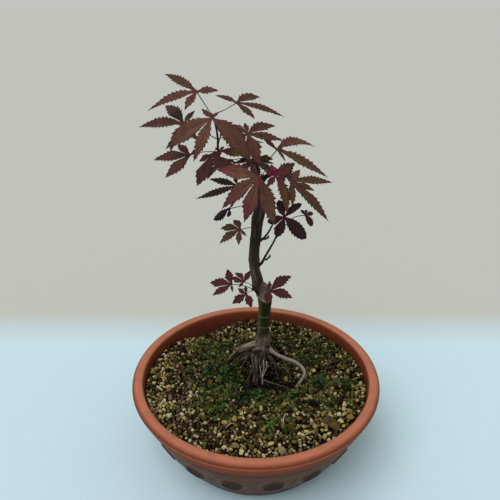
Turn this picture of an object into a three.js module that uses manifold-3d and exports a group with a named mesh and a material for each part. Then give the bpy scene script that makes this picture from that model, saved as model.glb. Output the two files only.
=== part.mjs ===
// A young red-leaved maple grown as a bonsai, standing on bared roots in a round bowl of gravel.
// Millimetres, +Z up. The origin is the centre of the bowl's foot, and -Y is the tree's front.
import * as THREE from "three";
import { mergeVertices } from "three/addons/utils/BufferGeometryUtils.js";
import Module from "manifold-3d";

const wasm = await Module();
wasm.setup();

// ---------------------------------------------------------------- driving dimensions

const SEAT_GAP = 0.3; // clearance between a piece and what it sits on

// Bowl: profiles are [radius, height] points, listed from the foot upwards.
const BOWL_SIDES = 40;
const BOWL_WALL = 3;
const FLOOR_THICKNESS = 4;
const FOOT_RECESS = 2.5; // the floor stands this far above the surface inside the foot ring
const FOOT_INNER_RADIUS = 70;
const BOWL_BODY = [[80, 0], [84, 5], [92, 17], [103, 35], [111.5, 54], [115.5, 69]];
const BOWL_BAND = [[119, 70.4], [120, 74], [119, 78.4]];
const BOWL_RIM = [[121.6, 79.2], [125, 83.6], [123.6, 86.6], [119, 88], [115, 86.8], [113.6, 83.4]];
const DRAIN_HOLES = 5;
const DRAIN_HOLE_RADIUS = 5;
const DRAIN_CIRCLE_RADIUS = 42;

// Rosettes pressed in a row round the bowl's body.
const ROSETTES = 18;
const ROSETTE_RADIUS = 10.5;
const ROSETTE_RELIEF = 0.9;
const ROSETTE_BEVEL = 1.2;
const ROSETTE_ROOT = 1.5; // how deep a rosette is sunk in the wall
const ROSETTE_HEIGHT = 42; // their centres above the foot
const ROSETTE_TURN = 8; // degrees from the front to the nearest one

// Soil and gravel.
const SOIL_HEIGHT = 67; // under the tree
const SOIL_RISE = 9; // the gravel is heaped this much higher against the wall
const RISE_START = 35; // distance from the tree at which it starts to rise
const RISE_END = 105;
const SOIL_RINGS = 15;
const GRAIN_RELIEF = 2.2;
const GRAIN_SHIFT = 1.6;
const ROOT_GAP = 0.5; // clearance of the gravel round the roots
const HOLLOW = { x: 10, y: 14, depth: 6, reachX: 30, reachY: 17 }; // washed out under the roots
const DIP = { x: -58, y: 97, depth: 11, reachX: 32, reachY: 32 }; // low place at the back, against the wall
const STONES = [
  // larger stones that lie among the gravel: [x, y, radius]
  [56, -33, 5], [66, -61, 4.5], [72, -69, 5], [89, -57, 5], [57, -15, 3.5], [103, 5, 3.5],
  [-18, -92, 4.5], [-5, -93, 4.5], [31, -70, 4.5], [83, -31, 4.5], [-49, -58, 4],
];
const STONE_SQUASH = [1, 0.85, 0.75];
const STONE_STANDING = 0.3; // height of a stone's centre over the gravel, as a share of its radius

// Wood: every limb is a run of [x, y, z, radius] points.
const TRUNK = [
  [4, 20, 86, 6], [5.5, 21, 98, 9], [7.5, 22, 108, 7.4], [8, 22, 116, 6.3], [8, 21, 132, 5.9],
  [9, 19, 150, 6.2], [9, 18, 160, 7.1], [7.5, 18, 169, 7.2], [3, 17, 175, 6.2], [1, 17, 185, 5.3],
  [-1.5, 16, 197, 4.8], [-2, 15, 206, 5.1], [-1.5, 14, 220, 4.9], [0, 13, 235, 5.1], [1, 12, 249, 5.4],
  [3, 11, 259, 5.3], [4, 10, 271, 4.6], [2, 9, 280, 4], [-1, 8, 287, 3],
];
const ROOTS = {
  front_left: [
    [4, 21, 104, 5], [-11, 24, 97, 3.8], [-23, 30, 83, 2.8], [-31, 38, 67, 2.2], [-34, 42, 56, 1.6],
  ],
  left: [[4, 20, 100, 4.5], [-4, 24, 87, 3.4], [-14, 31, 75, 2.5], [-20, 37, 65, 1.9], [-23, 40, 54, 1.4]],
  centre: [[5, 20, 98, 6.5], [1, 18, 92, 5], [1, 14, 80, 4.4], [0, 12, 67, 3.8], [-1, 11, 50, 2.6]],
  centre_right: [[8, 20, 96, 4.5], [9, 18, 86, 3.4], [8, 15, 76, 2.4], [6, 13, 64, 1.8], [5, 12, 54, 1.3]],
  right: [[8, 21, 97, 3.5], [13, 22, 87, 2], [20, 25, 77, 1.4], [27, 28, 66, 1.2], [30, 29, 58, 1]],
  arching: [
    [8, 22, 104, 4], [12, 22, 99, 2.8], [21, 23, 90, 2], [32, 25, 82.5, 1.9], [43, 27, 76, 1.9],
    [51, 25, 70, 1.8], [53, 18, 68, 1.8], [49, 8, 67.5, 1.7], [42, -3, 66, 1.4], [37, -9, 60, 1.1],
  ],
  lying: [[1, 13, 74, 1.6], [8, 9, 67, 1.1], [20, 3, 66, 1], [34, -5, 66.5, 0.9], [42, -11, 60, 0.7]],
  back_right: [[8, 25, 103, 5], [15, 35, 88, 3.4], [21, 44, 73, 2.6], [25, 51, 56, 1.7]],
  back_left: [[3, 25, 103, 5], [-3, 37, 88, 3.2], [-8, 46, 73, 2.4], [-12, 52, 56, 1.6]],
  back: [[6, 27, 100, 4], [6, 37, 84, 2.6], [5, 46, 70, 2], [4, 51, 56, 1.3]],
};
const BRANCHES = {
  leader: [
    [2, 9, 280, 3.6], [-4, 9, 291, 2.4], [-14, 8, 296, 1.8], [-23, 7, 299, 1.3], [-31, 5, 306, 1.1],
    [-33, 4, 316, 1], [-33, 3.5, 326, 0.9], [-34, 0, 336, 0.8], [-36, -5, 347, 0.7],
  ],
  right_bough: [[1, 8, 283, 3.2], [9, 4, 293, 2], [18, 0, 297, 1.5], [26, -2, 299, 1.1]],
  front_spur: [[2, 8, 284, 2.6], [4, 0, 292, 1.5], [4, -8, 297, 1.1]],
  back_spur: [[0, 9, 284, 2.6], [1, 17, 293, 1.6], [0, 25, 299, 1.2]],
  right_twig_high: [[1, 13, 226, 2.2], [6, 13, 229, 1.2], [11, 12, 236, 0.9], [15, 12, 244, 0.8]],
  right_twig_low: [
    [0, 16, 198, 2.6], [5, 16, 202, 1.5], [9, 15, 210.5, 1.1], [17, 12, 228, 0.9], [20, 10, 238, 0.8],
  ],
  left_knob: [[6, 18, 173, 4], [-1, 16, 173.5, 2], [-4, 14, 174, 1.1]],
  right_knob: [[7, 18, 176, 4], [10, 14, 178, 2], [11.5, 11.5, 178.5, 1.1]],
  bud_high: [[7, 13, 229, 1], [9, 12, 229.5, 0.9], [10.5, 12, 231, 0.8]],
  bud_low: [[9, 15, 206, 1], [11, 15, 207.5, 0.9], [12.5, 15, 209.5, 0.8]],
};

// Leaves: `hub` is where the lobes meet; `face` turns the upper side, in degrees, from the front towards
// +X, then lifts it towards the sky; `joins` is the point in the wood that the leaf stalk runs to, through
// the points `via`; each lobe is [direction in the blade, 0 to the right and 90 upwards, length, bend along
// it, how much wider or narrower than usual it is].
const LEAVES = {
  leaf_top_left: {
    hub: [-49, 2, 364], face: [-20, 45], joins: [-33, 4, 319], via: [[-38, 3, 346], [-31, 7, 331]],
    lobes: [[148, 44, 4, 0.52], [190, 45, 12, 0.6], [248, 18, 0, 1.4], [18, 18, -5, 1.2]],
  },
  leaf_top_right: {
    hub: [-17, 10, 354], face: [15, 50], joins: [-36, -5, 347], via: [[-26, 5, 349.5]],
    lobes: [[138, 19, 7, 0.8], [40, 24, -22, 1.1], [349, 42, -6, 0.42], [311, 20, 0, 1]],
  },
  leaf_crown_front: {
    hub: [-36, -18, 347], face: [-5, 30], joins: [-36, -5, 347],
    lobes: [[138, 12, 0, 1.1], [205, 44, 8, 1], [248, 37, 0, 0.8], [328, 47, -14, 1], [45, 8, 0, 1]],
  },
  leaf_left_upper: {
    hub: [-61, 4, 338], face: [-30, 40], joins: [-33, 3.5, 325], via: [[-44, 4, 330.5]],
    lobes: [[141, 35, 10, 0.95], [178, 51, 8, 0.58], [257, 26, 0, 1.1], [326, 21, 0, 1.1],
      [73, 15, 0, 1.1]],
  },
  leaf_left_lower: {
    hub: [-57, 2, 312], face: [-25, 45], joins: [-33, 4, 314],
    lobes: [[150, 21, 0, 1], [186, 38, 4, 0.87], [240, 29, -9, 1.3], [47, 13, 0, 1]],
  },
  leaf_centre_left: {
    hub: [-38, -4, 314], face: [-5, 35], joins: [-33, 4, 317.5],
    lobes: [[209, 12, 0, 1.5], [247, 29, 0, 1.5], [326, 26, -5, 1.5], [15, 9, 0, 1.5]],
  },
  leaf_centre_green: {
    hub: [-32, 12, 313], face: [12, 50], joins: [-32.3, 4.5, 311],
    lobes: [[352, 22, -4, 1.15], [50, 7, 0, 1.3], [130, 6, 0, 1.3], [262, 5, 0, 1.5]],
  },
  leaf_centre_dark: {
    hub: [-9, 17, 306], face: [0, 15], joins: [-31, 5, 305], via: [[-24, 11, 304.5]],
    lobes: [[305, 13, 0, 1.2], [80, 9, 0, 1.2], [150, 10, 0, 1.2], [215, 9, 0, 1.2]],
  },
  leaf_crown_right: {
    hub: [-8, -2, 331], face: [8, 45], joins: [-33, 3.5, 325.5], via: [[-21, 3, 328]],
    lobes: [[95, 12, 0, 1.3], [136, 16, 0, 1], [217, 17, 0, 1], [284, 29, 0, 1.3], [350, 31, 1, 0.75],
      [38, 27, -18, 1.1]],
  },
  leaf_right_upper: {
    hub: [17, 1, 317], face: [35, 45], joins: [4.5, 6, 288.5], via: [[9, 3, 305]],
    lobes: [[127, 19, -20, 0.9], [30, 46, -31, 0.6], [325, 55, -1, 0.6], [289, 12, 0, 0.8]],
  },
  leaf_olive: {
    hub: [0, 10, 307.5], face: [10, 45], joins: [-4, 9, 291],
    lobes: [[356, 15, 0, 1.4], [45, 6, 0, 1.4], [120, 8, 0, 1.2], [205, 8, 0, 1.2]],
  },
  leaf_front_large: {
    hub: [1, -28, 302], face: [0, 30], joins: [4, -8, 297],
    lobes: [[120, 18, 0, 0.8], [162, 36, 6, 1.1], [212, 39, 8, 0.95], [254, 38, -2, 1.2],
      [289, 40, 0, 1.1]],
  },
  leaf_crimson: {
    hub: [15, -18, 300], face: [15, 35], joins: [18, 0, 297],
    lobes: [[28, 23, 0, 1.3], [99, 11, 0, 1.6], [150, 9, 0, 1.5], [300, 33, -20, 0.85],
      [225, 12, 0, 1.4]],
  },
  leaf_right_lower: {
    hub: [28, -17, 295], face: [30, 38], joins: [18, 0, 297],
    lobes: [[33, 17, 0, 1.1], [356, 46, -4, 0.5], [333, 25, 0, 0.8], [309, 48, -4, 0.62],
      [257, 22, 0, 0.9]],
  },
  leaf_purple: {
    hub: [25, 3, 255], face: [20, 20], joins: [20, 10, 238],
    lobes: [[100, 16, 0, 1.7], [40, 22, -14, 1], [313, 31, 0, 1.35], [243, 19, 0, 1.75],
      [189, 16, 0, 1.6]],
  },
  leaf_purple_small: {
    hub: [44, 6, 256], face: [30, 40], joins: [17, 12, 228], via: [[33, 8, 252]],
    lobes: [[3, 9.5, 0, 1.6], [290, 12, 0, 1.7], [50, 6, 0, 1.7], [110, 6, 0, 1.7]],
  },
  leaf_curled: {
    hub: [-24, -2, 265], face: [-30, 20], joins: [3, 11, 262],
    lobes: [[216, 22, 2, 1.05], [257, 8, 0, 1.7], [70, 7, 0, 0.9]],
  },
  leaf_trunk_left: {
    hub: [-15, 2, 243], face: [-30, 40], joins: [0, 13, 240],
    lobes: [[125, 14, 20, 1.7], [170, 22, 16, 1.2], [213, 24, 10, 1.1], [282, 14, 0, 1.3], [334, 9, 0]],
  },
  leaf_trunk_right: {
    hub: [17, 12, 254], face: [0, 40], joins: [15, 12, 244],
    lobes: [[200, 9, 0], [245, 10, 0], [150, 9, 0]],
  },
  leaf_left_shaded: {
    hub: [-17, 14, 281], face: [-20, 30], joins: [2, 9, 280],
    lobes: [[204, 44, -3, 0.45], [170, 31, 3, 0.62], [250, 18, 0, 0.8], [120, 14, 0, 0.8]],
  },
  leaf_back_left: {
    hub: [-30, 29, 300], face: [215, 45], joins: [-14, 8, 296],
    lobes: [[20, 24, 0], [335, 29, 0], [290, 27, 0], [245, 22, 0], [200, 16, 0]],
  },
  leaf_back_right: {
    hub: [22, 26, 292], face: [140, 40], joins: [9, 4, 293],
    lobes: [[160, 20, 0], [200, 28, 0], [245, 30, 0], [290, 26, 0], [335, 18, 0]],
  },
  leaf_back_centre: {
    hub: [-3, 42, 296], face: [175, 40], joins: [0, 25, 299],
    lobes: [[180, 20, 0], [220, 29, 0], [265, 32, 0], [310, 28, 0], [355, 20, 0]],
  },
  leaf_back_top: {
    hub: [-9, 32, 316], face: [190, 60], joins: [0, 25, 299],
    lobes: [[170, 15, 0], [215, 20, 0], [262, 26, 0], [308, 24, 0], [350, 18, 0]],
  },
  leaf_shoot_far_left: {
    hub: [-24, 12, 181], face: [-20, 45], joins: [-4, 16, 174],
    lobes: [[121, 18, 0, 1.4], [183, 24, 0, 1.35], [218, 22, 0, 1.15], [292, 8, 0]],
  },
  leaf_shoot_high: {
    hub: [-12, 1, 190], face: [-10, 40], joins: [-2, 14, 176],
    lobes: [[112, 13, 28, 1.5], [165, 13, 0, 1.7], [65, 13, 0, 1.4], [235, 7, 0, 1.3]],
  },
  leaf_shoot_low: {
    hub: [-10, 0, 177], face: [-5, 40], joins: [-3.5, 13, 173.5],
    lobes: [[145, 10, 0, 1.5], [217, 16, 0, 1.6], [306, 14, -10, 1.7], [95, 9, 0, 1.3]],
  },
  leaf_shoot_right: {
    hub: [13, 0, 180], face: [15, 40], joins: [11.5, 11.5, 178.5],
    lobes: [[44, 29, -18, 1.1], [352, 24, -14, 1.3], [240, 12, 8, 2], [80, 11, 0, 1.2]],
  },
};
const BLADE_THICKNESS = 0.8;
const LOBE_WIDTH = 0.14; // half the width of a lobe, as a share of its length
const LOBE_CLEARANCE = 0.9; // a lobe fills this share of the angle to the next one at most
const SINUS = 0.15; // from the hub to the slit between two lobes, as a share of the shorter one
const KEEL = 0.16; // rise of the blade away from each midrib
const DROOP = 0.14; // fall of a lobe's tip, as a share of its length
const STALK_RADIUS = 0.55;
const STALK_GAP = 0.4; // from the middle of a stalk's end to the bark
const STALK_ARCH = 0.06; // rise of a stalk's middle, as a share of its length

// Weed seedlings in the gravel: [x, y, number of leaflets, leaflet length].
const SEEDLINGS = {
  seedling_right: [66, 0, 5, 8],
  seedling_front: [13, -70, 5, 6],
  seedling_left: [-34, 18, 6, 7],
};
const SEEDLING_HEIGHT = 6;
const SEEDLING_LEAF_WIDTH = 1.4;
const SEEDLING_DEPTH = 5;
const SEEDLING_STEM_RADIUS = 0.7;
const SEEDLING_HOLE_RADIUS = 1.1;

// ---------------------------------------------------------------- colours

const colour = {
  terracotta: [0xa85b3d, 0.55],
  soil: [0x8a7a5c, 0.95],
  bark: [0x4a4234, 0.9],
  leaf: [0x55281f, 0.6],
  crimson: [0x6b1f33, 0.55],
  purple: [0x2e141b, 0.6],
  olive: [0x4a3a1c, 0.6],
  green: [0x3f7a34, 0.6],
};
const LEAF_COLOURS = {
  leaf_crimson: "crimson", leaf_centre_dark: "purple",
  leaf_purple: "purple", leaf_curled: "purple", leaf_purple_small: "purple",
  leaf_centre_green: "olive", leaf_left_shaded: "olive", leaf_trunk_left: "olive", leaf_olive: "olive",
};

// ---------------------------------------------------------------- helpers

const radians = THREE.MathUtils.degToRad;
const vec = (x, y, z) => new THREE.Vector3(x, y, z);

/** A seeded random number source, 0 to 1. */
function seeded(seed) {
  let state = seed;
  return () => {
    state = (state * 1664525 + 1013904223) % 4294967296;
    return state / 4294967296;
  };
}

/** A geometry's surface as a solid that can be joined and cut. */
function solid(geometry) {
  const bare = geometry.clone();
  bare.deleteAttribute("normal");
  bare.deleteAttribute("uv");
  const merged = mergeVertices(bare, 1e-3);
  const corners = merged.index.array;
  const kept = [];
  for (let i = 0; i < corners.length; i += 3) {
    const [a, b, c] = corners.slice(i, i + 3);
    if (a !== b && b !== c && c !== a) kept.push(a, b, c);
  }
  return new wasm.Manifold(
    new wasm.Mesh({
      numProp: 3,
      vertProperties: merged.attributes.position.array,
      triVerts: new Uint32Array(kept),
    }),
  );
}

/** A geometry from a list of points and a list of corner numbers, three to a triangle. */
function surface(points, corners) {
  return new THREE.BufferGeometry().setFromPoints(points).setIndex(corners);
}

/** A named mesh of a solid, in one of the colours above. */
function piece(name, body, colourName) {
  const { vertProperties, triVerts, numProp } = body.getMesh();
  const points = [];
  for (let i = 0; i < vertProperties.length; i += numProp) {
    points.push(vec(...vertProperties.slice(i, i + 3)));
  }
  const [hex, roughness] = colour[colourName];
  const material = new THREE.MeshStandardMaterial({ color: hex, roughness, metalness: 0 });
  const mesh = new THREE.Mesh(surface(points, Array.from(triVerts)), material);
  mesh.geometry.computeVertexNormals();
  mesh.name = name;
  return mesh;
}

/** Rings of equally many points, joined side to side and closed by a flat fan at each end. */
function skinned(rings) {
  const sides = rings[0].length;
  const points = rings.flat();
  const corners = [];
  for (let ring = 0; ring + 1 < rings.length; ring++) {
    for (let i = 0; i < sides; i++) {
      const a = ring * sides + i;
      const b = ring * sides + ((i + 1) % sides);
      corners.push(a, b, b + sides, a, b + sides, a + sides);
    }
  }
  for (const [ring, turned] of [[0, true], [rings.length - 1, false]]) {
    const centre = points.length;
    points.push(rings[ring].reduce((sum, p) => sum.add(p), vec(0, 0, 0)).divideScalar(sides));
    for (let i = 0; i < sides; i++) {
      const a = ring * sides + i;
      const b = ring * sides + ((i + 1) % sides);
      corners.push(...(turned ? [b, a, centre] : [a, b, centre]));
    }
  }
  return surface(points, corners);
}

/** A smooth path through [x, y, z, radius] points: `at(t)` gives its place and radius, t from 0 to 1. */
function limbPath(points) {
  const curve = new THREE.CatmullRomCurve3(points.map(([x, y, z]) => vec(x, y, z)));
  const spans = points.length - 1;
  return {
    at(t) {
      const span = Math.min(Math.floor(t * spans), spans - 1);
      const radius = THREE.MathUtils.lerp(points[span][3], points[span + 1][3], t * spans - span);
      return { place: curve.getPoint(t), heading: curve.getTangent(t), radius };
    },
  };
}

/** A round limb that follows a path and tapers with it, `margin` fatter and longer all over. */
function limb(points, sides, rings, margin = 0) {
  const path = limbPath(points);
  let across = vec(1, 0, 0);
  const all = [];
  for (let i = 0; i <= rings; i++) {
    const { place, heading, radius } = path.at(i / rings);
    if (i === 0) place.addScaledVector(heading, -margin);
    if (i === rings) place.addScaledVector(heading, margin);
    across = across.clone().addScaledVector(heading, -across.dot(heading)).normalize();
    const beside = heading.clone().cross(across);
    all.push(
      Array.from({ length: sides }, (_, j) => {
        const turn = (2 * Math.PI * j) / sides;
        return place
          .clone()
          .addScaledVector(across, (radius + margin) * Math.cos(turn))
          .addScaledVector(beside, (radius + margin) * Math.sin(turn));
      }),
    );
  }
  return solid(skinned(all));
}

// ---------------------------------------------------------------- bowl

const toProfile = (points) => points.map(([r, z]) => new THREE.Vector2(r, z));
const floorTop = FOOT_RECESS + FLOOR_THICKNESS;
const bowlBodyCurve = new THREE.SplineCurve(toProfile(BOWL_BODY)).getPoints(6);
const bowlInnerWall = [
  new THREE.Vector2(BOWL_BODY[0][0] - 2 * BOWL_WALL, floorTop),
  ...BOWL_BODY.slice(2).map(([r, z]) => new THREE.Vector2(r - BOWL_WALL, z)),
];

/** Radius of the bowl's inner wall at a height, measured to the flats between its sides. */
function innerRadius(height) {
  const wall = [...bowlInnerWall, toProfile(BOWL_RIM).at(-1)];
  const above = wall.findIndex((p) => p.y > height);
  const upper = wall[above];
  const lower = wall[above - 1];
  const radius = THREE.MathUtils.mapLinear(height, lower.y, upper.y, lower.x, upper.x);
  return radius * Math.cos(Math.PI / BOWL_SIDES);
}

/** One rosette: a shallow round boss, made lying flat with its back sunk below zero. */
function rosette() {
  const outline = [
    [0, -ROSETTE_ROOT],
    [ROSETTE_RADIUS, -ROSETTE_ROOT],
    [ROSETTE_RADIUS - ROSETTE_BEVEL, ROSETTE_RELIEF],
    [0, ROSETTE_RELIEF],
  ];
  return new THREE.LatheGeometry(toProfile(outline), 8);
}

function bowl() {
  const profile = [
    new THREE.Vector2(0, FOOT_RECESS),
    new THREE.Vector2(FOOT_INNER_RADIUS, FOOT_RECESS),
    new THREE.Vector2(FOOT_INNER_RADIUS + 1, 0),
    ...bowlBodyCurve,
    ...toProfile([...BOWL_BAND, ...BOWL_RIM]),
    ...bowlInnerWall.toReversed(),
    new THREE.Vector2(0, floorTop),
  ];
  let body = solid(new THREE.LatheGeometry(profile, BOWL_SIDES).rotateX(Math.PI / 2));

  const wallAt = bowlBodyCurve.find((p) => p.y > ROSETTE_HEIGHT);
  const wallBelow = bowlBodyCurve.findLast((p) => p.y <= ROSETTE_HEIGHT);
  const wallRadius = THREE.MathUtils.mapLinear(ROSETTE_HEIGHT, wallBelow.y, wallAt.y, wallBelow.x, wallAt.x);
  const overhang = Math.atan2(wallAt.x - wallBelow.x, wallAt.y - wallBelow.y);
  for (let i = 0; i < ROSETTES; i++) {
    const disc = rosette()
      .rotateX(Math.PI) // its face now looks down -Y
      .rotateX(overhang)
      .translate(0, -wallRadius, ROSETTE_HEIGHT)
      .rotateZ(radians(ROSETTE_TURN + (360 / ROSETTES) * i));
    body = body.add(solid(disc));
  }
  for (let i = 0; i < DRAIN_HOLES; i++) {
    const hole = new THREE.CylinderGeometry(DRAIN_HOLE_RADIUS, DRAIN_HOLE_RADIUS, 3 * floorTop, 10)
      .rotateX(Math.PI / 2)
      .translate(DRAIN_CIRCLE_RADIUS, 0, 0)
      .rotateZ((2 * Math.PI * i) / DRAIN_HOLES);
    body = body.subtract(solid(hole));
  }
  return body;
}

// ---------------------------------------------------------------- tree

function wood(margin = 0) {
  let all = limb(TRUNK, 10, 24, margin);
  for (const points of Object.values(ROOTS)) all = all.add(limb(points, 6, points.length + 3, margin));
  if (margin > 0) return all;
  for (const points of Object.values(BRANCHES)) all = all.add(limb(points, 5, 2 * (points.length - 1)));
  return all;
}

/** Balls that fill the trunk and branches, shrinking to nothing at each flat end. */
const woodBalls = [TRUNK, ...Object.values(BRANCHES)].flatMap((points) => {
  const path = limbPath(points);
  const tip = path.at(1).place;
  return Array.from({ length: 201 }, (_, i) => {
    const { place, radius } = path.at(i / 200);
    return { place, radius: Math.min(radius, place.distanceTo(tip)) };
  });
});

/** Distance from a point to the bark of the trunk and branches. */
function distanceToBark(point) {
  return Math.min(...woodBalls.map(({ place, radius }) => place.distanceTo(point) - radius));
}

// ---------------------------------------------------------------- leaves

/** Half the width of a lobe at a share of its length, as a share of its greatest half width. */
const lobeProfile = (s) => Math.sin(Math.PI * s ** 0.85) ** 1.1;

/** One side of a lobe from its first tooth to the neck of its tip, as [share of length, half width]. */
function toothedSide(length) {
  const teeth = length > 24 ? 3 : length > 12 ? 2 : 1;
  const side = [];
  for (let i = 0; i < teeth; i++) {
    const s = 0.36 + (0.36 * (i + 0.5)) / teeth;
    side.push([s, 1.12 * lobeProfile(s)]);
    if (i + 1 < teeth) side.push([s + 0.05, 0.84 * lobeProfile(s + 0.05)]);
  }
  if (teeth > 1) side.push([0.84, 0.24]);
  return side;
}

/** The direction of a lobe's midrib, in degrees, at a distance from the hub. */
const leaning = ([direction, length, bend], distance) => direction + bend * Math.min(1, distance / length);

/** A leaf blade with its hub at the origin: lobes fanned in the XY plane, keeled, toothed and drooping. */
function blade(lobes, toothed = true) {
  const sorted = [...lobes].sort((a, b) => a[0] - b[0]);
  const flat = [{ x: 0, y: 0, z: 0 }];
  const faces = [];
  const rim = [];
  const add = (x, y, z) => flat.push({ x, y, z }) - 1;

  const next = (i) => sorted[(i + 1) % sorted.length];
  const gaps = sorted.map(([direction], i) => (next(i)[0] - direction + 360) % 360 || 360);
  const sinuses = sorted.map(([direction, length], i) => {
    const reach = gaps[i] < 80 ? SINUS * Math.min(length, next(i)[1]) : 1.2;
    const middle = radians(direction + gaps[i] / 2);
    const rise = KEEL * reach * Math.sin(radians(gaps[i] / 2));
    return add(reach * Math.cos(middle), reach * Math.sin(middle), rise);
  });

  sorted.forEach(([direction, length, bend, width = 1], i) => {
    /** A point of this lobe, at a share of its length and a distance off its midrib. */
    const onLobe = (s, off) => {
      const turn = radians(direction + bend * s);
      const along = s * length;
      const x = along * Math.cos(turn) - off * Math.sin(turn);
      const y = along * Math.sin(turn) + off * Math.cos(turn);
      return add(x, y, KEEL * Math.abs(off) - DROOP * length * s * s);
    };
    /** Half the width at a place in the outline, where the lobe keeps clear of the next one on that side. */
    const halfAt = ([s, share], other, side) => {
      const apart = side * (leaning(other, s * length) - leaning(sorted[i], s * length));
      const gap = (apart + 360) % 360;
      const room = gap < 100 ? LOBE_CLEARANCE * s * length * Math.tan(radians(gap / 2)) : Infinity;
      return Math.min(share * LOBE_WIDTH * width * length, room);
    };
    const tip = onLobe(1, 0);
    const midrib = [[0, 0], [0.33, onLobe(0.33, 0)], [0.64, onLobe(0.64, 0)], [1, tip]];
    const outline = toothed ? toothedSide(length) : [[0.4, 1.2], [0.75, 1.1]];
    const before = sorted.at(i - 1);
    const after = next(i);
    const right = [sinuses.at(i - 1), ...outline.map((at) => onLobe(at[0], -halfAt(at, before, -1))), tip];
    const left = [sinuses[i], ...outline.map((at) => onLobe(at[0], halfAt(at, after, 1))), tip];
    const shares = [0.12, ...outline.map(([s]) => s), 1];
    for (const [side, turned] of [[right, true], [left, false]]) {
      let m = 0;
      let o = 0;
      while (m + 1 < midrib.length || o + 1 < side.length - 1) {
        const nextMidrib = m + 1 < midrib.length ? midrib[m + 1][0] : Infinity;
        const nextSide = o + 1 < side.length - 1 ? shares[o + 1] : Infinity;
        const onMidrib = midrib[m][1];
        const onSide = side[o];
        const third = nextMidrib < nextSide || o + 2 === side.length ? midrib[++m][1] : side[++o];
        faces.push(turned ? [onMidrib, onSide, third] : [onMidrib, third, onSide]);
      }
    }
    rim.push(...right.slice(0, -1), tip, ...left.slice(1, -1).reverse());
  });

  // The underside repeats the upper side, and a narrow edge joins the two all round.
  const half = BLADE_THICKNESS / 2;
  const points = [half, -half].flatMap((rise) => flat.map(({ x, y, z }) => vec(x, y, z + rise)));
  const under = flat.length;
  const corners = faces.flatMap(([a, b, c]) => [a, b, c, under + a, under + c, under + b]);
  rim.forEach((a, i) => {
    const b = rim[(i + 1) % rim.length];
    corners.push(a, under + a, under + b, a, under + b, b);
  });
  return surface(points, corners);
}

/** Turns a blade to face a way, [turn from the front, lift towards the sky], and puts its hub in place. */
function placing([turn, lift], hub) {
  return new THREE.Matrix4()
    .makeTranslation(...hub)
    .multiply(new THREE.Matrix4().makeRotationZ(radians(turn)))
    .multiply(new THREE.Matrix4().makeRotationX(radians(90 - lift)));
}

function leaf({ hub, face, joins, via, lobes }) {
  const placed = blade(lobes).applyMatrix4(placing(face, hub));
  const start = vec(...hub);
  const end = vec(...joins);
  const arched = start.clone().lerp(end, 0.5).add(vec(0, 0, STALK_ARCH * start.distanceTo(end)));
  const between = via ? via.map((p) => vec(...p)) : [arched];
  const outward = between.at(-1).clone().sub(end).normalize();
  while (distanceToBark(end) < STALK_GAP) end.addScaledVector(outward, 0.1);
  const route = [start, ...between, end].map((p) => [p.x, p.y, p.z, STALK_RADIUS]);
  return solid(placed).add(limb(route, 4, 2 * (route.length - 1)));
}

// ---------------------------------------------------------------- soil and seedlings

/** How much a hollow lowers the ground at a place. */
function sunk(hollow, x, y) {
  const acrossX = (x - hollow.x) / hollow.reachX;
  const acrossY = (y - hollow.y) / hollow.reachY;
  return hollow.depth * Math.exp(-(acrossX ** 2) - acrossY ** 2);
}

/** Height of the ground, without its grains. */
function ground(x, y) {
  const fromTree = Math.hypot(x - HOLLOW.x, y - HOLLOW.y);
  const heaped = SOIL_RISE * THREE.MathUtils.smoothstep(fromTree, RISE_START, RISE_END);
  return SOIL_HEIGHT + heaped - sunk(HOLLOW, x, y) - sunk(DIP, x, y);
}

/** The fill of the bowl: rings of gravel grains on top, and smooth where the wall and floor hold it. */
function soilBody() {
  const random = seeded(7);
  const nominal = innerRadius(SOIL_HEIGHT);
  const atWall = (turn) => {
    const height = ground(nominal * Math.cos(turn), nominal * Math.sin(turn));
    return innerRadius(height) - SEAT_GAP;
  };
  const points = [];
  const ringStart = [];
  for (let ring = 0; ring <= SOIL_RINGS; ring++) {
    ringStart.push(points.length);
    for (let i = 0; i < Math.max(1, 6 * ring); i++) {
      const turn = (Math.PI * i) / (3 * ring || 1);
      const radius = (atWall(turn) * ring) / SOIL_RINGS;
      const loose = ring < SOIL_RINGS ? 1 : 0;
      const x = radius * Math.cos(turn) + loose * GRAIN_SHIFT * (2 * random() - 1);
      const y = radius * Math.sin(turn) + loose * GRAIN_SHIFT * (2 * random() - 1);
      points.push(vec(x, y, ground(x, y) + loose * GRAIN_RELIEF * (2 * random() - 1)));
    }
  }
  const corners = [];
  for (let ring = 1; ring <= SOIL_RINGS; ring++) {
    const outer = (i) => ringStart[ring] + (i % (6 * ring));
    const inner = (i) => ringStart[ring - 1] + (i % Math.max(1, 6 * (ring - 1)));
    for (let sixth = 0; sixth < 6; sixth++) {
      for (let i = 0; i < ring; i++) {
        const out = sixth * ring + i;
        const back = sixth * (ring - 1) + i;
        corners.push(outer(out), outer(out + 1), inner(back));
        if (i + 1 < ring) corners.push(inner(back), outer(out + 1), inner(back + 1));
      }
    }
  }
  const rimCount = 6 * SOIL_RINGS;
  const floorHeight = floorTop + SEAT_GAP;
  const wallHeights = [BOWL_BODY[4][1], BOWL_BODY[2][1], floorHeight];
  const wallRings = wallHeights.map((height) => [innerRadius(height) - 2 * SEAT_GAP, height]);
  let above = ringStart[SOIL_RINGS];
  for (const [radius, height] of wallRings) {
    const start = points.length;
    for (let i = 0; i < rimCount; i++) {
      const turn = (2 * Math.PI * i) / rimCount;
      points.push(vec(radius * Math.cos(turn), radius * Math.sin(turn), height));
    }
    for (let i = 0; i < rimCount; i++) {
      const j = (i + 1) % rimCount;
      corners.push(above + i, start + i, start + j, above + i, start + j, above + j);
    }
    above = start;
  }
  const bottom = points.push(vec(0, 0, floorHeight)) - 1;
  for (let i = 0; i < rimCount; i++) corners.push(above + i, bottom, above + ((i + 1) % rimCount));
  return solid(surface(points, corners));
}

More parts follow.
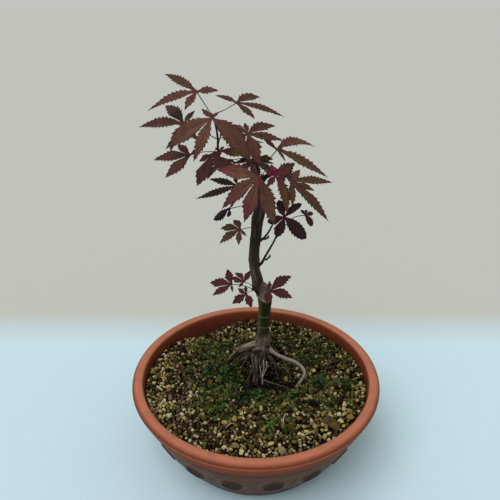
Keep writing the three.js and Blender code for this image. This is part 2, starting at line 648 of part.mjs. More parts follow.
function soil() {
  let body = soilBody();
  STONES.forEach(([x, y, radius], i) => {
    const stone = new THREE.IcosahedronGeometry(radius, 0)
      .scale(...STONE_SQUASH)
      .rotateZ(i)
      .translate(x, y, ground(x, y) + STONE_STANDING * radius);
    body = body.add(solid(stone));
  });
  body = body.subtract(wood(ROOT_GAP));
  for (const [x, y] of Object.values(SEEDLINGS)) {
    const hole = new THREE.CylinderGeometry(SEEDLING_HOLE_RADIUS, SEEDLING_HOLE_RADIUS, 12, 6)
      .rotateX(Math.PI / 2)
      .translate(x, y, ground(x, y));
    body = body.subtract(solid(hole));
  }
  return body;
}

function seedling([x, y, leaflets, length]) {
  const bottom = ground(x, y) - SEEDLING_DEPTH;
  const top = ground(x, y) + SEEDLING_HEIGHT;
  const apart = 360 / leaflets;
  const lobes = Array.from({ length: leaflets }, (_, i) => [apart * i, length, 0, SEEDLING_LEAF_WIDTH]);
  const rosetteOfLeaves = blade(lobes, false).translate(x, y, top);
  const stem = limb([[x, y, bottom, SEEDLING_STEM_RADIUS], [x, y, top, SEEDLING_STEM_RADIUS]], 5, 2);
  return solid(rosetteOfLeaves).add(stem);
}

// ---------------------------------------------------------------- assembly

const bonsai = new THREE.Group();
bonsai.add(piece("bowl", bowl(), "terracotta"));
bonsai.add(piece("soil", soil(), "soil"));
bonsai.add(piece("tree", wood(), "bark"));
for (const [name, shape] of Object.entries(LEAVES)) {
  bonsai.add(piece(name, leaf(shape), LEAF_COLOURS[name] ?? "leaf"));
}
for (const [name, shape] of Object.entries(SEEDLINGS)) bonsai.add(piece(name, seedling(shape), "green"));

export default bonsai;
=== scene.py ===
import math

import bmesh
import bpy
import numpy as np
from mathutils import Euler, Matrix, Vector, kdtree


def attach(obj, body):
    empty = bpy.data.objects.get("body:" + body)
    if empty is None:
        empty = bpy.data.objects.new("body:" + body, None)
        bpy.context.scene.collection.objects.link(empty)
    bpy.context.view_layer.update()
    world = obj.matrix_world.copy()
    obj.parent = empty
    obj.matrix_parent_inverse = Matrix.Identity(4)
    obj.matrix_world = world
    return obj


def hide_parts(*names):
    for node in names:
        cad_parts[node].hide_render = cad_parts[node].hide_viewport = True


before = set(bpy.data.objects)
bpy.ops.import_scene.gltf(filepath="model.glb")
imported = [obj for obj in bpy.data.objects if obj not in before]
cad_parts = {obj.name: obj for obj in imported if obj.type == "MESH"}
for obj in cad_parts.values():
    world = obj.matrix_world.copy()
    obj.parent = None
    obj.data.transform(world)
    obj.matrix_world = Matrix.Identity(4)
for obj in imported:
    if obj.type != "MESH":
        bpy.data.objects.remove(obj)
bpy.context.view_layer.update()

MM = 0.001
random = np.random.default_rng(11)

# ---------------------------------------------------------------- the part's own forms

BOWL_BODY = [(80, 0), (84, 5), (92, 17), (103, 35), (111.5, 54), (115.5, 69)]
BOWL_INSIDE = [(112.5, 69), (108.5, 54), (100, 35), (89, 17), (74, 6.5)]
FOOT_RECESS = 2.5
FLOOR_TOP = 6.5
FOOT_INNER_RADIUS = 70
DRAIN_HOLES = 5
DRAIN_HOLE_RADIUS = 5
DRAIN_CIRCLE_RADIUS = 42
ROSETTES = 18
ROSETTE_RADIUS = 10.5
ROSETTE_RELIEF = 0.9
ROSETTE_HEIGHT = 42
ROSETTE_TURN = 8

SOIL_HEIGHT = 67
SOIL_RISE = 9
RISE_START, RISE_END = 35, 105
HOLLOW = (10, 14, 6, 30, 17)  # x, y, depth, reach along x, reach along y
DIP = (-58, 97, 11, 32, 32)
STONES = [
    (56, -33, 5), (66, -61, 4.5), (72, -69, 5), (89, -57, 5), (57, -15, 3.5), (103, 5, 3.5),
    (-18, -92, 4.5), (-5, -93, 4.5), (31, -70, 4.5), (83, -31, 4.5), (-49, -58, 4),
]

TRUNK = [
    (4, 20, 86, 6), (5.5, 21, 98, 9), (7.5, 22, 108, 7.4), (8, 22, 116, 6.3), (8, 21, 132, 5.9),
    (9, 19, 150, 6.2), (9, 18, 160, 7.1), (7.5, 18, 169, 7.2), (3, 17, 175, 6.2), (1, 17, 185, 5.3),
    (-1.5, 16, 197, 4.8), (-2, 15, 206, 5.1), (-1.5, 14, 220, 4.9), (0, 13, 235, 5.1), (1, 12, 249, 5.4),
    (3, 11, 259, 5.3), (4, 10, 271, 4.6), (2, 9, 280, 4), (-1, 8, 287, 3),
]
ROOTS = {
    "front_left": [
        (4, 21, 104, 5), (-11, 24, 97, 3.8), (-23, 30, 83, 2.8), (-31, 38, 67, 2.2), (-34, 42, 56, 1.6),
    ],
    "left": [
        (4, 20, 100, 4.5), (-4, 24, 87, 3.4), (-14, 31, 75, 2.5), (-20, 37, 65, 1.9), (-23, 40, 54, 1.4),
    ],
    "centre": [(5, 20, 98, 6.5), (1, 18, 92, 5), (1, 14, 80, 4.4), (0, 12, 67, 3.8), (-1, 11, 50, 2.6)],
    "centre_right": [
        (8, 20, 96, 4.5), (9, 18, 86, 3.4), (8, 15, 76, 2.4), (6, 13, 64, 1.8), (5, 12, 54, 1.3),
    ],
    "right": [(8, 21, 97, 3.5), (13, 22, 87, 2), (20, 25, 77, 1.4), (27, 28, 66, 1.2), (30, 29, 58, 1)],
    "arching": [
        (8, 22, 104, 4), (12, 22, 99, 2.8), (21, 23, 90, 2), (32, 25, 82.5, 1.9), (43, 27, 76, 1.9),
        (51, 25, 70, 1.8), (53, 18, 68, 1.8), (49, 8, 67.5, 1.7), (42, -3, 66, 1.4), (37, -9, 60, 1.1),
    ],
    "lying": [(1, 13, 74, 1.6), (8, 9, 67, 1.1), (20, 3, 66, 1), (34, -5, 66.5, 0.9), (42, -11, 60, 0.7)],
    "back_right": [(8, 25, 103, 5), (15, 35, 88, 3.4), (21, 44, 73, 2.6), (25, 51, 56, 1.7)],
    "back_left": [(3, 25, 103, 5), (-3, 37, 88, 3.2), (-8, 46, 73, 2.4), (-12, 52, 56, 1.6)],
    "back": [(6, 27, 100, 4), (6, 37, 84, 2.6), (5, 46, 70, 2), (4, 51, 56, 1.3)],
}
BRANCHES = {
    "leader": [
        (2, 9, 280, 3.6), (-4, 9, 291, 2.4), (-14, 8, 296, 1.8), (-23, 7, 299, 1.3), (-31, 5, 306, 1.1),
        (-33, 4, 316, 1), (-33, 3.5, 326, 0.9), (-34, 0, 336, 0.8), (-36, -5, 347, 0.7),
    ],
    "right_bough": [(1, 8, 283, 3.2), (9, 4, 293, 2), (18, 0, 297, 1.5), (26, -2, 299, 1.1)],
    "front_spur": [(2, 8, 284, 2.6), (4, 0, 292, 1.5), (4, -8, 297, 1.1)],
    "back_spur": [(0, 9, 284, 2.6), (1, 17, 293, 1.6), (0, 25, 299, 1.2)],
    "right_twig_high": [(1, 13, 226, 2.2), (6, 13, 229, 1.2), (11, 12, 236, 0.9), (15, 12, 244, 0.8)],
    "right_twig_low": [
        (0, 16, 198, 2.6), (5, 16, 202, 1.5), (9, 15, 210.5, 1.1), (17, 12, 228, 0.9), (20, 10, 238, 0.8),
    ],
    "left_knob": [(6, 18, 173, 4), (-1, 16, 173.5, 2), (-4, 14, 174, 1.1)],
    "right_knob": [(7, 18, 176, 4), (10, 14, 178, 2), (11.5, 11.5, 178.5, 1.1)],
    "bud_high": [(7, 13, 229, 1), (9, 12, 229.5, 0.9), (10.5, 12, 231, 0.8)],
    "bud_low": [(9, 15, 206, 1), (11, 15, 207.5, 0.9), (12.5, 15, 209.5, 0.8)],
}
# Thin roots that hang and lie over the thick ones.
FINE_ROOTS = {
    "white_a": [
        (8, 13, 90, 0.5), (8.6, 9.5, 84, 0.45), (8.2, 8.4, 77, 0.5), (7.6, 8, 70, 0.4), (7, 7, 60, 0.35),
    ],
    "white_b": [(11, 12, 89, 0.45), (11.4, 9, 83, 0.4), (9.6, 8.2, 76, 0.4), (8.2, 8, 72, 0.35)],
    "white_c": [(4, 12.5, 84, 0.4), (5, 9.6, 76, 0.35), (7, 8, 70, 0.3), (8, 6, 62, 0.3)],
    "thread_a": [(13, 20, 92, 0.7), (18, 17, 84, 0.5), (22, 14, 76, 0.45), (25, 11, 64, 0.4)],
    "thread_b": [(-6, 23, 95, 0.8), (-10, 20, 86, 0.6), (-15, 19, 77, 0.55), (-18, 19, 64, 0.4)],
    "thread_c": [(-14, 25, 91, 0.8), (-20, 25, 80, 0.6), (-25, 28, 70, 0.5), (-28, 29, 60, 0.4)],
    "thread_d": [(0, 13, 86, 0.6), (-4, 10, 77, 0.5), (-8, 8, 70, 0.5), (-11, 7, 58, 0.4)],
    "thread_e": [(28, 24, 84.5, 0.7), (33, 20, 77, 0.5), (36, 17, 71, 0.45), (38, 15, 58, 0.4)],
    "thread_f": [(12, 30, 94, 0.8), (18, 36, 84, 0.6), (28, 40, 74, 0.55), (34, 43, 62, 0.4)],
    "thread_g": [(-2, 30, 94, 0.8), (-12, 36, 84, 0.6), (-18, 44, 75, 0.5), (-22, 48, 62, 0.4)],
}

# Leaves: hub, facing (turn, lift), point in the wood, points on the way to it, and the lobes, each as
# (direction, length, bend, how wide).
LEAVES = {
    "leaf_top_left": (
        (-49, 2, 364), (-20, 45), (-33, 4, 319), ((-38, 3, 346), (-31, 7, 331)),
        [(148, 44, 4, 0.52), (190, 45, 12, 0.6), (248, 18, 0, 1.4), (18, 18, -5, 1.2)],
    ),
    "leaf_top_right": (
        (-17, 10, 354), (15, 50), (-36, -5, 347), ((-26, 5, 349.5),),
        [(138, 19, 7, 0.8), (40, 24, -22, 1.1), (349, 42, -6, 0.42), (311, 20, 0, 1)],
    ),
    "leaf_crown_front": (
        (-36, -18, 347), (-5, 30), (-36, -5, 347), (),
        [(138, 12, 0, 1.1), (205, 44, 8, 1), (248, 37, 0, 0.8), (328, 47, -14, 1), (45, 8, 0, 1)],
    ),
    "leaf_left_upper": (
        (-61, 4, 338), (-30, 40), (-33, 3.5, 325), ((-44, 4, 330.5),),
        [(141, 35, 10, 0.95), (178, 51, 8, 0.58), (257, 26, 0, 1.1), (326, 21, 0, 1.1), (73, 15, 0, 1.1)],
    ),
    "leaf_left_lower": (
        (-57, 2, 312), (-25, 45), (-33, 4, 314), (),
        [(150, 21, 0, 1), (186, 38, 4, 0.87), (240, 29, -9, 1.3), (47, 13, 0, 1)],
    ),
    "leaf_centre_left": (
        (-38, -4, 314), (-5, 35), (-33, 4, 317.5), (),
        [(209, 12, 0, 1.5), (247, 29, 0, 1.5), (326, 26, -5, 1.5), (15, 9, 0, 1.5)],
    ),
    "leaf_centre_green": (
        (-32, 12, 313), (12, 50), (-32.3, 4.5, 311), (),
        [(352, 22, -4, 1.15), (50, 7, 0, 1.3), (130, 6, 0, 1.3), (262, 5, 0, 1.5)],
    ),
    "leaf_centre_dark": (
        (-9, 17, 306), (0, 15), (-31, 5, 305), ((-24, 11, 304.5),),
        [(305, 13, 0, 1.2), (80, 9, 0, 1.2), (150, 10, 0, 1.2), (215, 9, 0, 1.2)],
    ),
    "leaf_crown_right": (
        (-8, -2, 331), (8, 45), (-33, 3.5, 325.5), ((-21, 3, 328),),
        [(95, 12, 0, 1.3), (136, 16, 0, 1), (217, 17, 0, 1), (284, 29, 0, 1.3), (350, 31, 1, 0.75),
         (38, 27, -18, 1.1)],
    ),
    "leaf_right_upper": (
        (17, 1, 317), (35, 45), (4.5, 6, 288.5), ((9, 3, 305),),
        [(127, 19, -20, 0.9), (30, 46, -31, 0.6), (325, 55, -1, 0.6), (289, 12, 0, 0.8)],
    ),
    "leaf_olive": (
        (0, 10, 307.5), (10, 45), (-4, 9, 291), (),
        [(356, 15, 0, 1.4), (45, 6, 0, 1.4), (120, 8, 0, 1.2), (205, 8, 0, 1.2)],
    ),
    "leaf_front_large": (
        (1, -28, 302), (0, 30), (4, -8, 297), (),
        [(120, 18, 0, 0.8), (162, 36, 6, 1.1), (212, 39, 8, 0.95), (254, 38, -2, 1.2), (289, 40, 0, 1.1)],
    ),
    "leaf_crimson": (
        (15, -18, 300), (15, 35), (18, 0, 297), (),
        [(28, 23, 0, 1.3), (99, 11, 0, 1.6), (150, 9, 0, 1.5), (300, 33, -20, 0.85), (225, 12, 0, 1.4)],
    ),
    "leaf_right_lower": (
        (28, -17, 295), (30, 38), (18, 0, 297), (),
        [(33, 17, 0, 1.1), (356, 46, -4, 0.5), (333, 25, 0, 0.8), (309, 48, -4, 0.62), (257, 22, 0, 0.9)],
    ),
    "leaf_purple": (
        (25, 3, 255), (20, 20), (20, 10, 238), (),
        [(100, 16, 0, 1.7), (40, 22, -14, 1), (313, 31, 0, 1.35), (243, 19, 0, 1.75), (189, 16, 0, 1.6)],
    ),
    "leaf_purple_small": (
        (44, 6, 256), (30, 40), (17, 12, 228), ((33, 8, 252),),
        [(3, 9.5, 0, 1.6), (290, 12, 0, 1.7), (50, 6, 0, 1.7), (110, 6, 0, 1.7)],
    ),
    "leaf_curled": (
        (-24, -2, 265), (-30, 20), (3, 11, 262), (),
        [(216, 22, 2, 1.05), (257, 8, 0, 1.7), (70, 7, 0, 0.9)],
    ),
    "leaf_trunk_left": (
        (-15, 2, 243), (-30, 40), (0, 13, 240), (),
        [(125, 14, 20, 1.7), (170, 22, 16, 1.2), (213, 24, 10, 1.1), (282, 14, 0, 1.3), (334, 9, 0)],
    ),
    "leaf_trunk_right": (
        (17, 12, 254), (0, 40), (15, 12, 244), (),
        [(200, 9, 0), (245, 10, 0), (150, 9, 0)],
    ),
    "leaf_left_shaded": (
        (-17, 14, 281), (-20, 30), (2, 9, 280), (),
        [(204, 44, -3, 0.45), (170, 31, 3, 0.62), (250, 18, 0, 0.8), (120, 14, 0, 0.8)],
    ),
    "leaf_back_left": (
        (-30, 29, 300), (215, 45), (-14, 8, 296), (),
        [(20, 24, 0), (335, 29, 0), (290, 27, 0), (245, 22, 0), (200, 16, 0)],
    ),
    "leaf_back_right": (
        (22, 26, 292), (140, 40), (9, 4, 293), (),
        [(160, 20, 0), (200, 28, 0), (245, 30, 0), (290, 26, 0), (335, 18, 0)],
    ),
    "leaf_back_centre": (
        (-3, 42, 296), (175, 40), (0, 25, 299), (),
        [(180, 20, 0), (220, 29, 0), (265, 32, 0), (310, 28, 0), (355, 20, 0)],
    ),
    "leaf_back_top": (
        (-9, 32, 316), (190, 60), (0, 25, 299), (),
        [(170, 15, 0), (215, 20, 0), (262, 26, 0), (308, 24, 0), (350, 18, 0)],
    ),
    "leaf_shoot_far_left": (
        (-24, 12, 181), (-20, 45), (-4, 16, 174), (),
        [(121, 18, 0, 1.4), (183, 24, 0, 1.35), (218, 22, 0, 1.15), (292, 8, 0)],
    ),
    "leaf_shoot_high": (
        (-12, 1, 190), (-10, 40), (-2, 14, 176), (),
        [(112, 13, 28, 1.5), (165, 13, 0, 1.7), (65, 13, 0, 1.4), (235, 7, 0, 1.3)],
    ),
    "leaf_shoot_low": (
        (-10, 0, 177), (-5, 40), (-3.5, 13, 173.5), (),
        [(145, 10, 0, 1.5), (217, 16, 0, 1.6), (306, 14, -10, 1.7), (95, 9, 0, 1.3)],
    ),
    "leaf_shoot_right": (
        (13, 0, 180), (15, 40), (11.5, 11.5, 178.5), (),
        [(44, 29, -18, 1.1), (352, 24, -14, 1.3), (240, 12, 8, 2), (80, 11, 0, 1.2)],
    ),
}
LOBE_WIDTH = 0.14
LOBE_CLEARANCE = 0.9
SINUS = 0.1
KEEL = 0.16
DROOP = 0.14
STALK_ARCH = 0.06
BLADE_THICKNESS = 0.3

# Seedlings: x, y, how many leaves, how long they are, and their colour.
SEEDLINGS = {
    "seedling_right": (66, 0, 5, 8, (33, 68, 26)),
    "seedling_front": (13, -70, 5, 6, (66, 102, 34)),
    "seedling_left": (-34, 18, 6, 7, (42, 78, 30)),
}

# ---------------------------------------------------------------- numbers


def srgb(r, g, b):
    """A colour on the 0 to 255 scale of a picture, as linear light."""
    c = np.array([r, g, b]) / 255
    return np.where(c <= 0.04045, c / 12.92, ((c + 0.055) / 1.055) ** 2.4)


def smoothstep(x, low, high):
    t = np.clip((x - low) / (high - low), 0, 1)
    return t * t * (3 - 2 * t)


def blend(a, b, share):
    """From a to b, where share is one number or one for each row."""
    share = np.asarray(share, float)
    share = share[..., None] if share.ndim else share
    return np.asarray(a) * (1 - share) + np.asarray(b) * share


def layered(paint, *layers):
    """Paint under layers, each a colour and its share."""
    for colour, share in layers:
        paint = blend(paint, colour, share)
    return paint


def bell(x, width):
    """1 where x is 0, falling to nothing over about twice the width."""
    return np.exp(-((x / width) ** 2))


def lattice(cell, seed):
    """A fixed random number, -1 to 1, for each whole-numbered cell."""
    x, y, z = (cell[..., i].astype(np.int64) for i in range(3))
    h = (x * 374761393 + y * 668265263 + z * 1440662683 + seed * 974711) & 0xFFFFFFFF
    h = ((h ^ (h >> 13)) * 1274126177) & 0xFFFFFFFF
    return ((h ^ (h >> 16)) & 0xFFFF) / 32767.5 - 1


def noise(points, seed=0):
    """Smooth random values, -1 to 1, that change over about one unit."""
    points = np.asarray(points, float)
    cell = np.floor(points)
    part = points - cell
    part = part * part * (3 - 2 * part)
    total = 0
    for corner in np.ndindex(2, 2, 2):
        weight = np.prod(np.where(corner, part, 1 - part), axis=-1)
        total = total + weight * lattice(cell + corner, seed)
    return total


def spline(points, per_span, uniform=False):
    """A centripetal (or uniform) Catmull-Rom curve through the points: one row for each step."""
    p = np.asarray(points, float)
    place = p[:, :3] if p.shape[1] > 3 else p
    place = np.vstack([2 * place[0] - place[1], place, 2 * place[-1] - place[-2]])
    rows = []
    for i in range(len(p) - 1):
        a, b, c, d = place[i : i + 4]
        gaps = [1.0] * 3
        if not uniform:
            gaps = [max(np.linalg.norm(v) ** 0.5, 1e-4) for v in (b - a, c - b, d - c)]
        out = ((b - a) / gaps[0] - (c - a) / (gaps[0] + gaps[1]) + (c - b) / gaps[1]) * gaps[1]
        into = ((c - b) / gaps[1] - (d - b) / (gaps[1] + gaps[2]) + (d - c) / gaps[2]) * gaps[1]
        last = i == len(p) - 2
        for t in np.arange(per_span + last) / per_span:
            at = b + out * t + (3 * (c - b) - 2 * out - into) * t**2 + (2 * (b - c) + out + into) * t**3
            if p.shape[1] > 3:
                at = np.append(at, p[i, 3] + (p[i + 1, 3] - p[i, 3]) * (t * t * (3 - 2 * t)))
            rows.append(at)
    return np.array(rows)


def sunk(hollow, x, y):
    """How far the gravel lies lower for a hollow."""
    hx, hy, depth, reach_x, reach_y = hollow
    return depth * np.exp(-(((x - hx) / reach_x) ** 2) - ((y - hy) / reach_y) ** 2)


def ground(x, y):
    """Height of the gravel, without its grains."""
    heaped = SOIL_RISE * smoothstep(np.hypot(x - HOLLOW[0], y - HOLLOW[1]), RISE_START, RISE_END)
    return SOIL_HEIGHT + heaped - sunk(HOLLOW, x, y) - sunk(DIP, x, y)


def ground_noise(x, y, width, seed):
    """Noise over the ground, whose features are about width millimetres wide."""
    return noise(np.column_stack([x / width, y / width, 0 * x]), seed)


# ---------------------------------------------------------------- meshes

DOME = 0.5  # the height of a limb's end, in radii


class Shape:
    """Points, faces and colours that grow piece by piece."""

    def __init__(self):
        self.points, self.faces, self.paint, self.count = [], [], [], 0

    def add(self, points, faces, colour):
        points = np.asarray(points, float)
        self.points.append(points)
        self.paint.append(np.broadcast_to(np.asarray(colour, float), points.shape))
        for face in faces:
            self.faces.append([int(i) + self.count for i in face])
        self.count += len(points)

    def made(self):
        return np.vstack(self.points), self.faces, np.vstack(self.paint)

    def mesh(self, name, **attributes):
        points, faces, paint = self.made()
        return mesh_object(name, points, faces, {"paint": paint, **attributes})


def mesh_object(name, points, faces, attributes, smooth=True):
    data = bpy.data.meshes.new(name)
    data.from_pydata((np.asarray(points) * MM).tolist(), [], faces)
    for key, values in attributes.items():
        values = np.asarray(values, float)
        if values.ndim == 2:
            layer = data.attributes.new(key, "FLOAT_COLOR", "POINT")
            layer.data.foreach_set("color", np.column_stack([values, np.ones(len(values))]).ravel())
        else:
            layer = data.attributes.new(key, "FLOAT", "POINT")
            layer.data.foreach_set("value", values)
    data.polygons.foreach_set("use_smooth", [smooth] * len(data.polygons))
    obj = bpy.data.objects.new(name, data)
    bpy.context.scene.collection.objects.link(obj)
    return obj


def dress(obj, material, slot, *nodes):
    """Finishes a piece: its material, the body that it rides on, and the CAD nodes that it stands for."""
    obj.data.materials.clear()
    obj.data.materials.append(material)
    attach(obj, "root")
    if nodes:
        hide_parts(*nodes)


def baked(obj):
    """Applies an object's modifiers."""
    graph = bpy.context.evaluated_depsgraph_get()
    data = bpy.data.meshes.new_from_object(obj.evaluated_get(graph))
    obj.modifiers.clear()
    obj.data = data


def frames(path):
    """Headings and two crossing directions along a path, without twist."""
    heading = np.gradient(path, axis=0)
    heading /= np.linalg.norm(heading, axis=1)[:, None]
    across = np.cross(heading[0], (0.31, 0.2, 0.93))
    rows = []
    for h in heading:
        across = across - h * np.dot(across, h)
        across = across / np.linalg.norm(across)
        rows.append(across)
    across = np.array(rows)
    return heading, across, np.cross(heading, across)


def round_turns(sides):
    """The angles of points spaced evenly round a circle."""
    return np.arange(sides) * 2 * np.pi / sides


def closed_rings(rings, sides, flipped=False):
    """Faces over rings of points, and over two last points that close the first and the last ring."""
    faces = []
    for k in range(rings - 1):
        for i in range(sides):
            a, b = k * sides + i, k * sides + (i + 1) % sides
            faces.append([a, b, b + sides, a + sides])
    top, low = (rings - 1) * sides, rings * sides
    for i in range(sides):
        j = (i + 1) % sides
        faces.append([j, i, low])
        faces.append([top + i, top + j, low + 1])
    return [[face[0], *face[:0:-1]] for face in faces] if flipped else faces


def tube(run, sides, per_span):
    """A round limb through (x, y, z, radius) points, closed by a low dome at each end."""
    line = spline(run, per_span)
    path, radius = line[:, :3], line[:, 3]
    heading, across, beside = frames(path)
    turn = round_turns(sides)[:, None]
    circle = across[:, None] * np.cos(turn) + beside[:, None] * np.sin(turn)
    points = (path[:, None] + circle * radius[:, None, None]).reshape(-1, 3)
    start = path[0] - heading[0] * radius[0] * DOME
    end = path[-1] + heading[-1] * radius[-1] * DOME
    return np.vstack([points, start, end]), closed_rings(len(path), sides)


def lathe(profile, sides):
    """A closed turned form: the profile runs from the axis out and back to the axis."""
    turn = round_turns(sides)
    ring = np.stack([np.sin(turn), -np.cos(turn)], axis=1)
    points = [np.column_stack([ring * r, np.full(sides, z)]) for r, z in profile[1:-1]]
    points += [[0, 0, profile[0][1]], [0, 0, profile[-1][1]]]
    return np.vstack(points), closed_rings(len(profile) - 2, sides)


# ---------------------------------------------------------------- materials


class Nodes:
    """A material whose nodes are added one by one."""

    def __init__(self, name):
        self.material = bpy.data.materials.new(name)
        self.material.use_nodes = True
        self.tree = self.material.node_tree
        self.shader = self.tree.nodes["Principled BSDF"]

    def add(self, kind, inputs=None, **settings):
        node = self.tree.nodes.new(kind)
        for key, value in settings.items():
            setattr(node, key, value)
        for key, value in (inputs or {}).items():
            self.put(node.inputs[key], value)
        return node

    def put(self, socket, value):
        if isinstance(value, bpy.types.NodeSocket):
            self.tree.links.new(value, socket)
        else:
            socket.default_value = value

    def place(self, scale=(1, 1, 1)):
        """The object's own coordinates in millimetres, stretched."""
        here = self.add("ShaderNodeTexCoord").outputs["Object"]
        return self.add(
            "ShaderNodeMapping", {"Vector": here, "Scale": tuple(1000 * s for s in scale)}
        ).outputs["Vector"]

    def noise(self, size, detail=3, stretch=(1, 1, 1)):
        """Noise, 0 to 1, whose features are about size millimetres wide."""
        return self.add(
            "ShaderNodeTexNoise",
            {"Vector": self.place(stretch), "Scale": 1 / size, "Detail": detail, "Roughness": 0.6},
        ).outputs["Fac"]

    def ramp(self, value, *stops):
        """Colours (or greys) by value: stops are (position, colour or grey)."""
        ramp = self.add("ShaderNodeValToRGB", {"Fac": value})
        bar = ramp.color_ramp
        while len(bar.elements) < len(stops):
            bar.elements.new(0.5)
        for element, (position, colour) in zip(bar.elements, stops):
            element.position = position
            grey = not hasattr(colour, "__len__")
            element.color = (colour, colour, colour, 1) if grey else (*colour, 1)
        return ramp.outputs["Color"]

    def mix(self, share, a, b, how="MIX"):
        node = self.add("ShaderNodeMix", data_type="RGBA", blend_type=how)
        self.put(node.inputs["Factor"], share)
        for socket, value in ((node.inputs[6], a), (node.inputs[7], b)):
            if not isinstance(value, bpy.types.NodeSocket):
                value = (*value, 1)
            self.put(socket, value)
        return node.outputs[2]

    def math(self, how, a, b):
        node = self.add("ShaderNodeMath", operation=how)
        self.put(node.inputs[0], a)
        self.put(node.inputs[1], b)
        return node.outputs[0]

    def attribute(self, name, out="Color"):
        return self.add("ShaderNodeAttribute", attribute_name=name).outputs[out]

    def shaded(self, colour, *shades):
        """A colour multiplied by each of the shades."""
        for shade in shades:
            colour = self.mix(1.0, colour, shade, "MULTIPLY")
        return colour

    def bump(self, height, depth, strength):
        """Relief of a height, 0 to 1, that stands for depth millimetres."""
        node = self.add(
            "ShaderNodeBump", {"Height": height, "Distance": depth * MM, "Strength": strength}
        )
        self.put(self.shader.inputs["Normal"], node.outputs["Normal"])

    def finish(self, colour, roughness, **more):
        self.put(self.shader.inputs["Base Color"], colour)
        self.put(self.shader.inputs["Roughness"], roughness)
        for key, value in more.items():
            self.put(self.shader.inputs[key.replace("_", " ")], value)
        return self.material


def bowl_material():
    m = Nodes("bowl_plastic")
    cloudy = m.ramp(m.noise(14, 4), (0.3, 0.88), (0.7, 1.1))
    fine = m.ramp(m.noise(1.3, 3), (0.3, 0.93), (0.7, 1.05))
    colour = m.shaded(m.attribute("paint"), cloudy, fine)
    specks = m.add("ShaderNodeTexVoronoi", {"Vector": m.place(), "Scale": 1 / 7})
    dot = m.ramp(specks.outputs["Distance"], (0.02, 1.0), (0.06, 0.0))
    rare = m.ramp(specks.outputs["Color"], (0.72, 0.0), (0.78, 1.0))
    colour = m.mix(m.math("MULTIPLY", dot, rare), colour, srgb(62, 34, 22))
    rough = m.ramp(m.noise(9, 4), (0.3, 0.42), (0.7, 0.58))
    m.bump(m.noise(0.9, 3), 0.05, 0.5)
    return m.finish(colour, rough, Specular_IOR_Level=0.16)


def gravel_material():
    m = Nodes("gravel_stone")
    grain = m.ramp(m.noise(1.1, 4), (0.25, 0.62), (0.5, 0.98), (0.78, 1.3))
    m.bump(m.noise(0.5, 4), 0.18, 0.7)
    return m.finish(m.shaded(m.attribute("paint"), grain), 0.85, Specular_IOR_Level=0.06)


def bark_material():
    m = Nodes("bark")
    streak = m.ramp(m.noise(0.9, 5, (1, 1, 0.22)), (0.28, 0.6), (0.5, 1.0), (0.75, 1.4))
    fleck = m.ramp(m.noise(0.8, 5), (0.3, 0.62), (0.5, 0.95), (0.72, 1.5))
    m.bump(m.noise(0.8, 5, (1, 1, 0.5)), 0.5, 0.9)
    return m.finish(m.shaded(m.attribute("paint"), streak, fleck), 0.82, Specular_IOR_Level=0.12)


def leaf_material():
    m = Nodes("leaf_blade")
    mottle = m.ramp(m.noise(4, 4), (0.3, 0.74), (0.7, 1.26))
    fine = m.ramp(m.noise(0.7, 3), (0.3, 0.88), (0.7, 1.12))
    colour = m.shaded(m.attribute("paint"), mottle, fine)
    vein = m.attribute("vein", "Fac")
    colour = m.mix(m.math("MULTIPLY", vein, 0.3), colour, srgb(92, 52, 46))
    m.bump(m.math("SUBTRACT", m.noise(0.8, 2), m.math("MULTIPLY", vein, 0.8)), 0.12, 0.6)
    rough = m.ramp(m.noise(5, 2), (0.3, 0.5), (0.7, 0.64))
    return m.finish(colour, rough, Specular_IOR_Level=0.14)


def green_material():
    m = Nodes("seedling_leaf")
    mottle = m.ramp(m.noise(1.6, 3), (0.3, 0.6), (0.7, 1.35))
    m.bump(m.noise(0.5, 2), 0.05, 0.5)
    return m.finish(m.shaded(m.attribute("paint"), mottle), 0.55, Specular_IOR_Level=0.15)


# ---------------------------------------------------------------- bowl

LIP = srgb(178, 110, 84)
# The outside of the rim and of its band, by height: painted highlights on the upper edges, painted shade
# under each edge and in the grooves.
RIM_PAINTED_LIGHT_AND_SHADE = [
    (69.2, (90, 42, 23)), (71, (104, 46, 24)), (74, (118, 54, 28)), (78.4, (168, 84, 50)),
    (79.4, (84, 40, 24)), (80.6, (126, 62, 38)), (82.6, (174, 98, 66)), (83.6, (152, 80, 52)),
    (84.6, (108, 48, 26)), (85.6, (116, 55, 33)), (86.8, (144, 78, 52)), (87.8, (178, 110, 84)),
]
PATINA = srgb(68, 39, 22)
PALE_PATINA = srgb(99, 64, 43)
DISC = srgb(50, 29, 16)
# The inside of the rim and bowl: the rim's colour darkened as painted shade.
SHADED_INSIDE = srgb(112, 54, 34)

BOWL_SIDES = 288
ROSETTE_SIDES = 84
ROSETTE_ANGLES = np.radians(ROSETTE_TURN + 360 / ROSETTES * np.arange(ROSETTES))
SEEDS = 46
SEED_SPACING = 1.27
SEED_RADIUS = 0.85
GOLDEN_ANGLE = 137.508
WALL_STEEPNESS = 0.905  # how far up a millimetre along the wall leads

body_curve = spline(BOWL_BODY, 10, uniform=True)


def wall_radius(height):
    return np.interp(height, body_curve[:, 1], body_curve[:, 0])


def rounded(points, per_span):
    return spline(points, per_span).tolist()


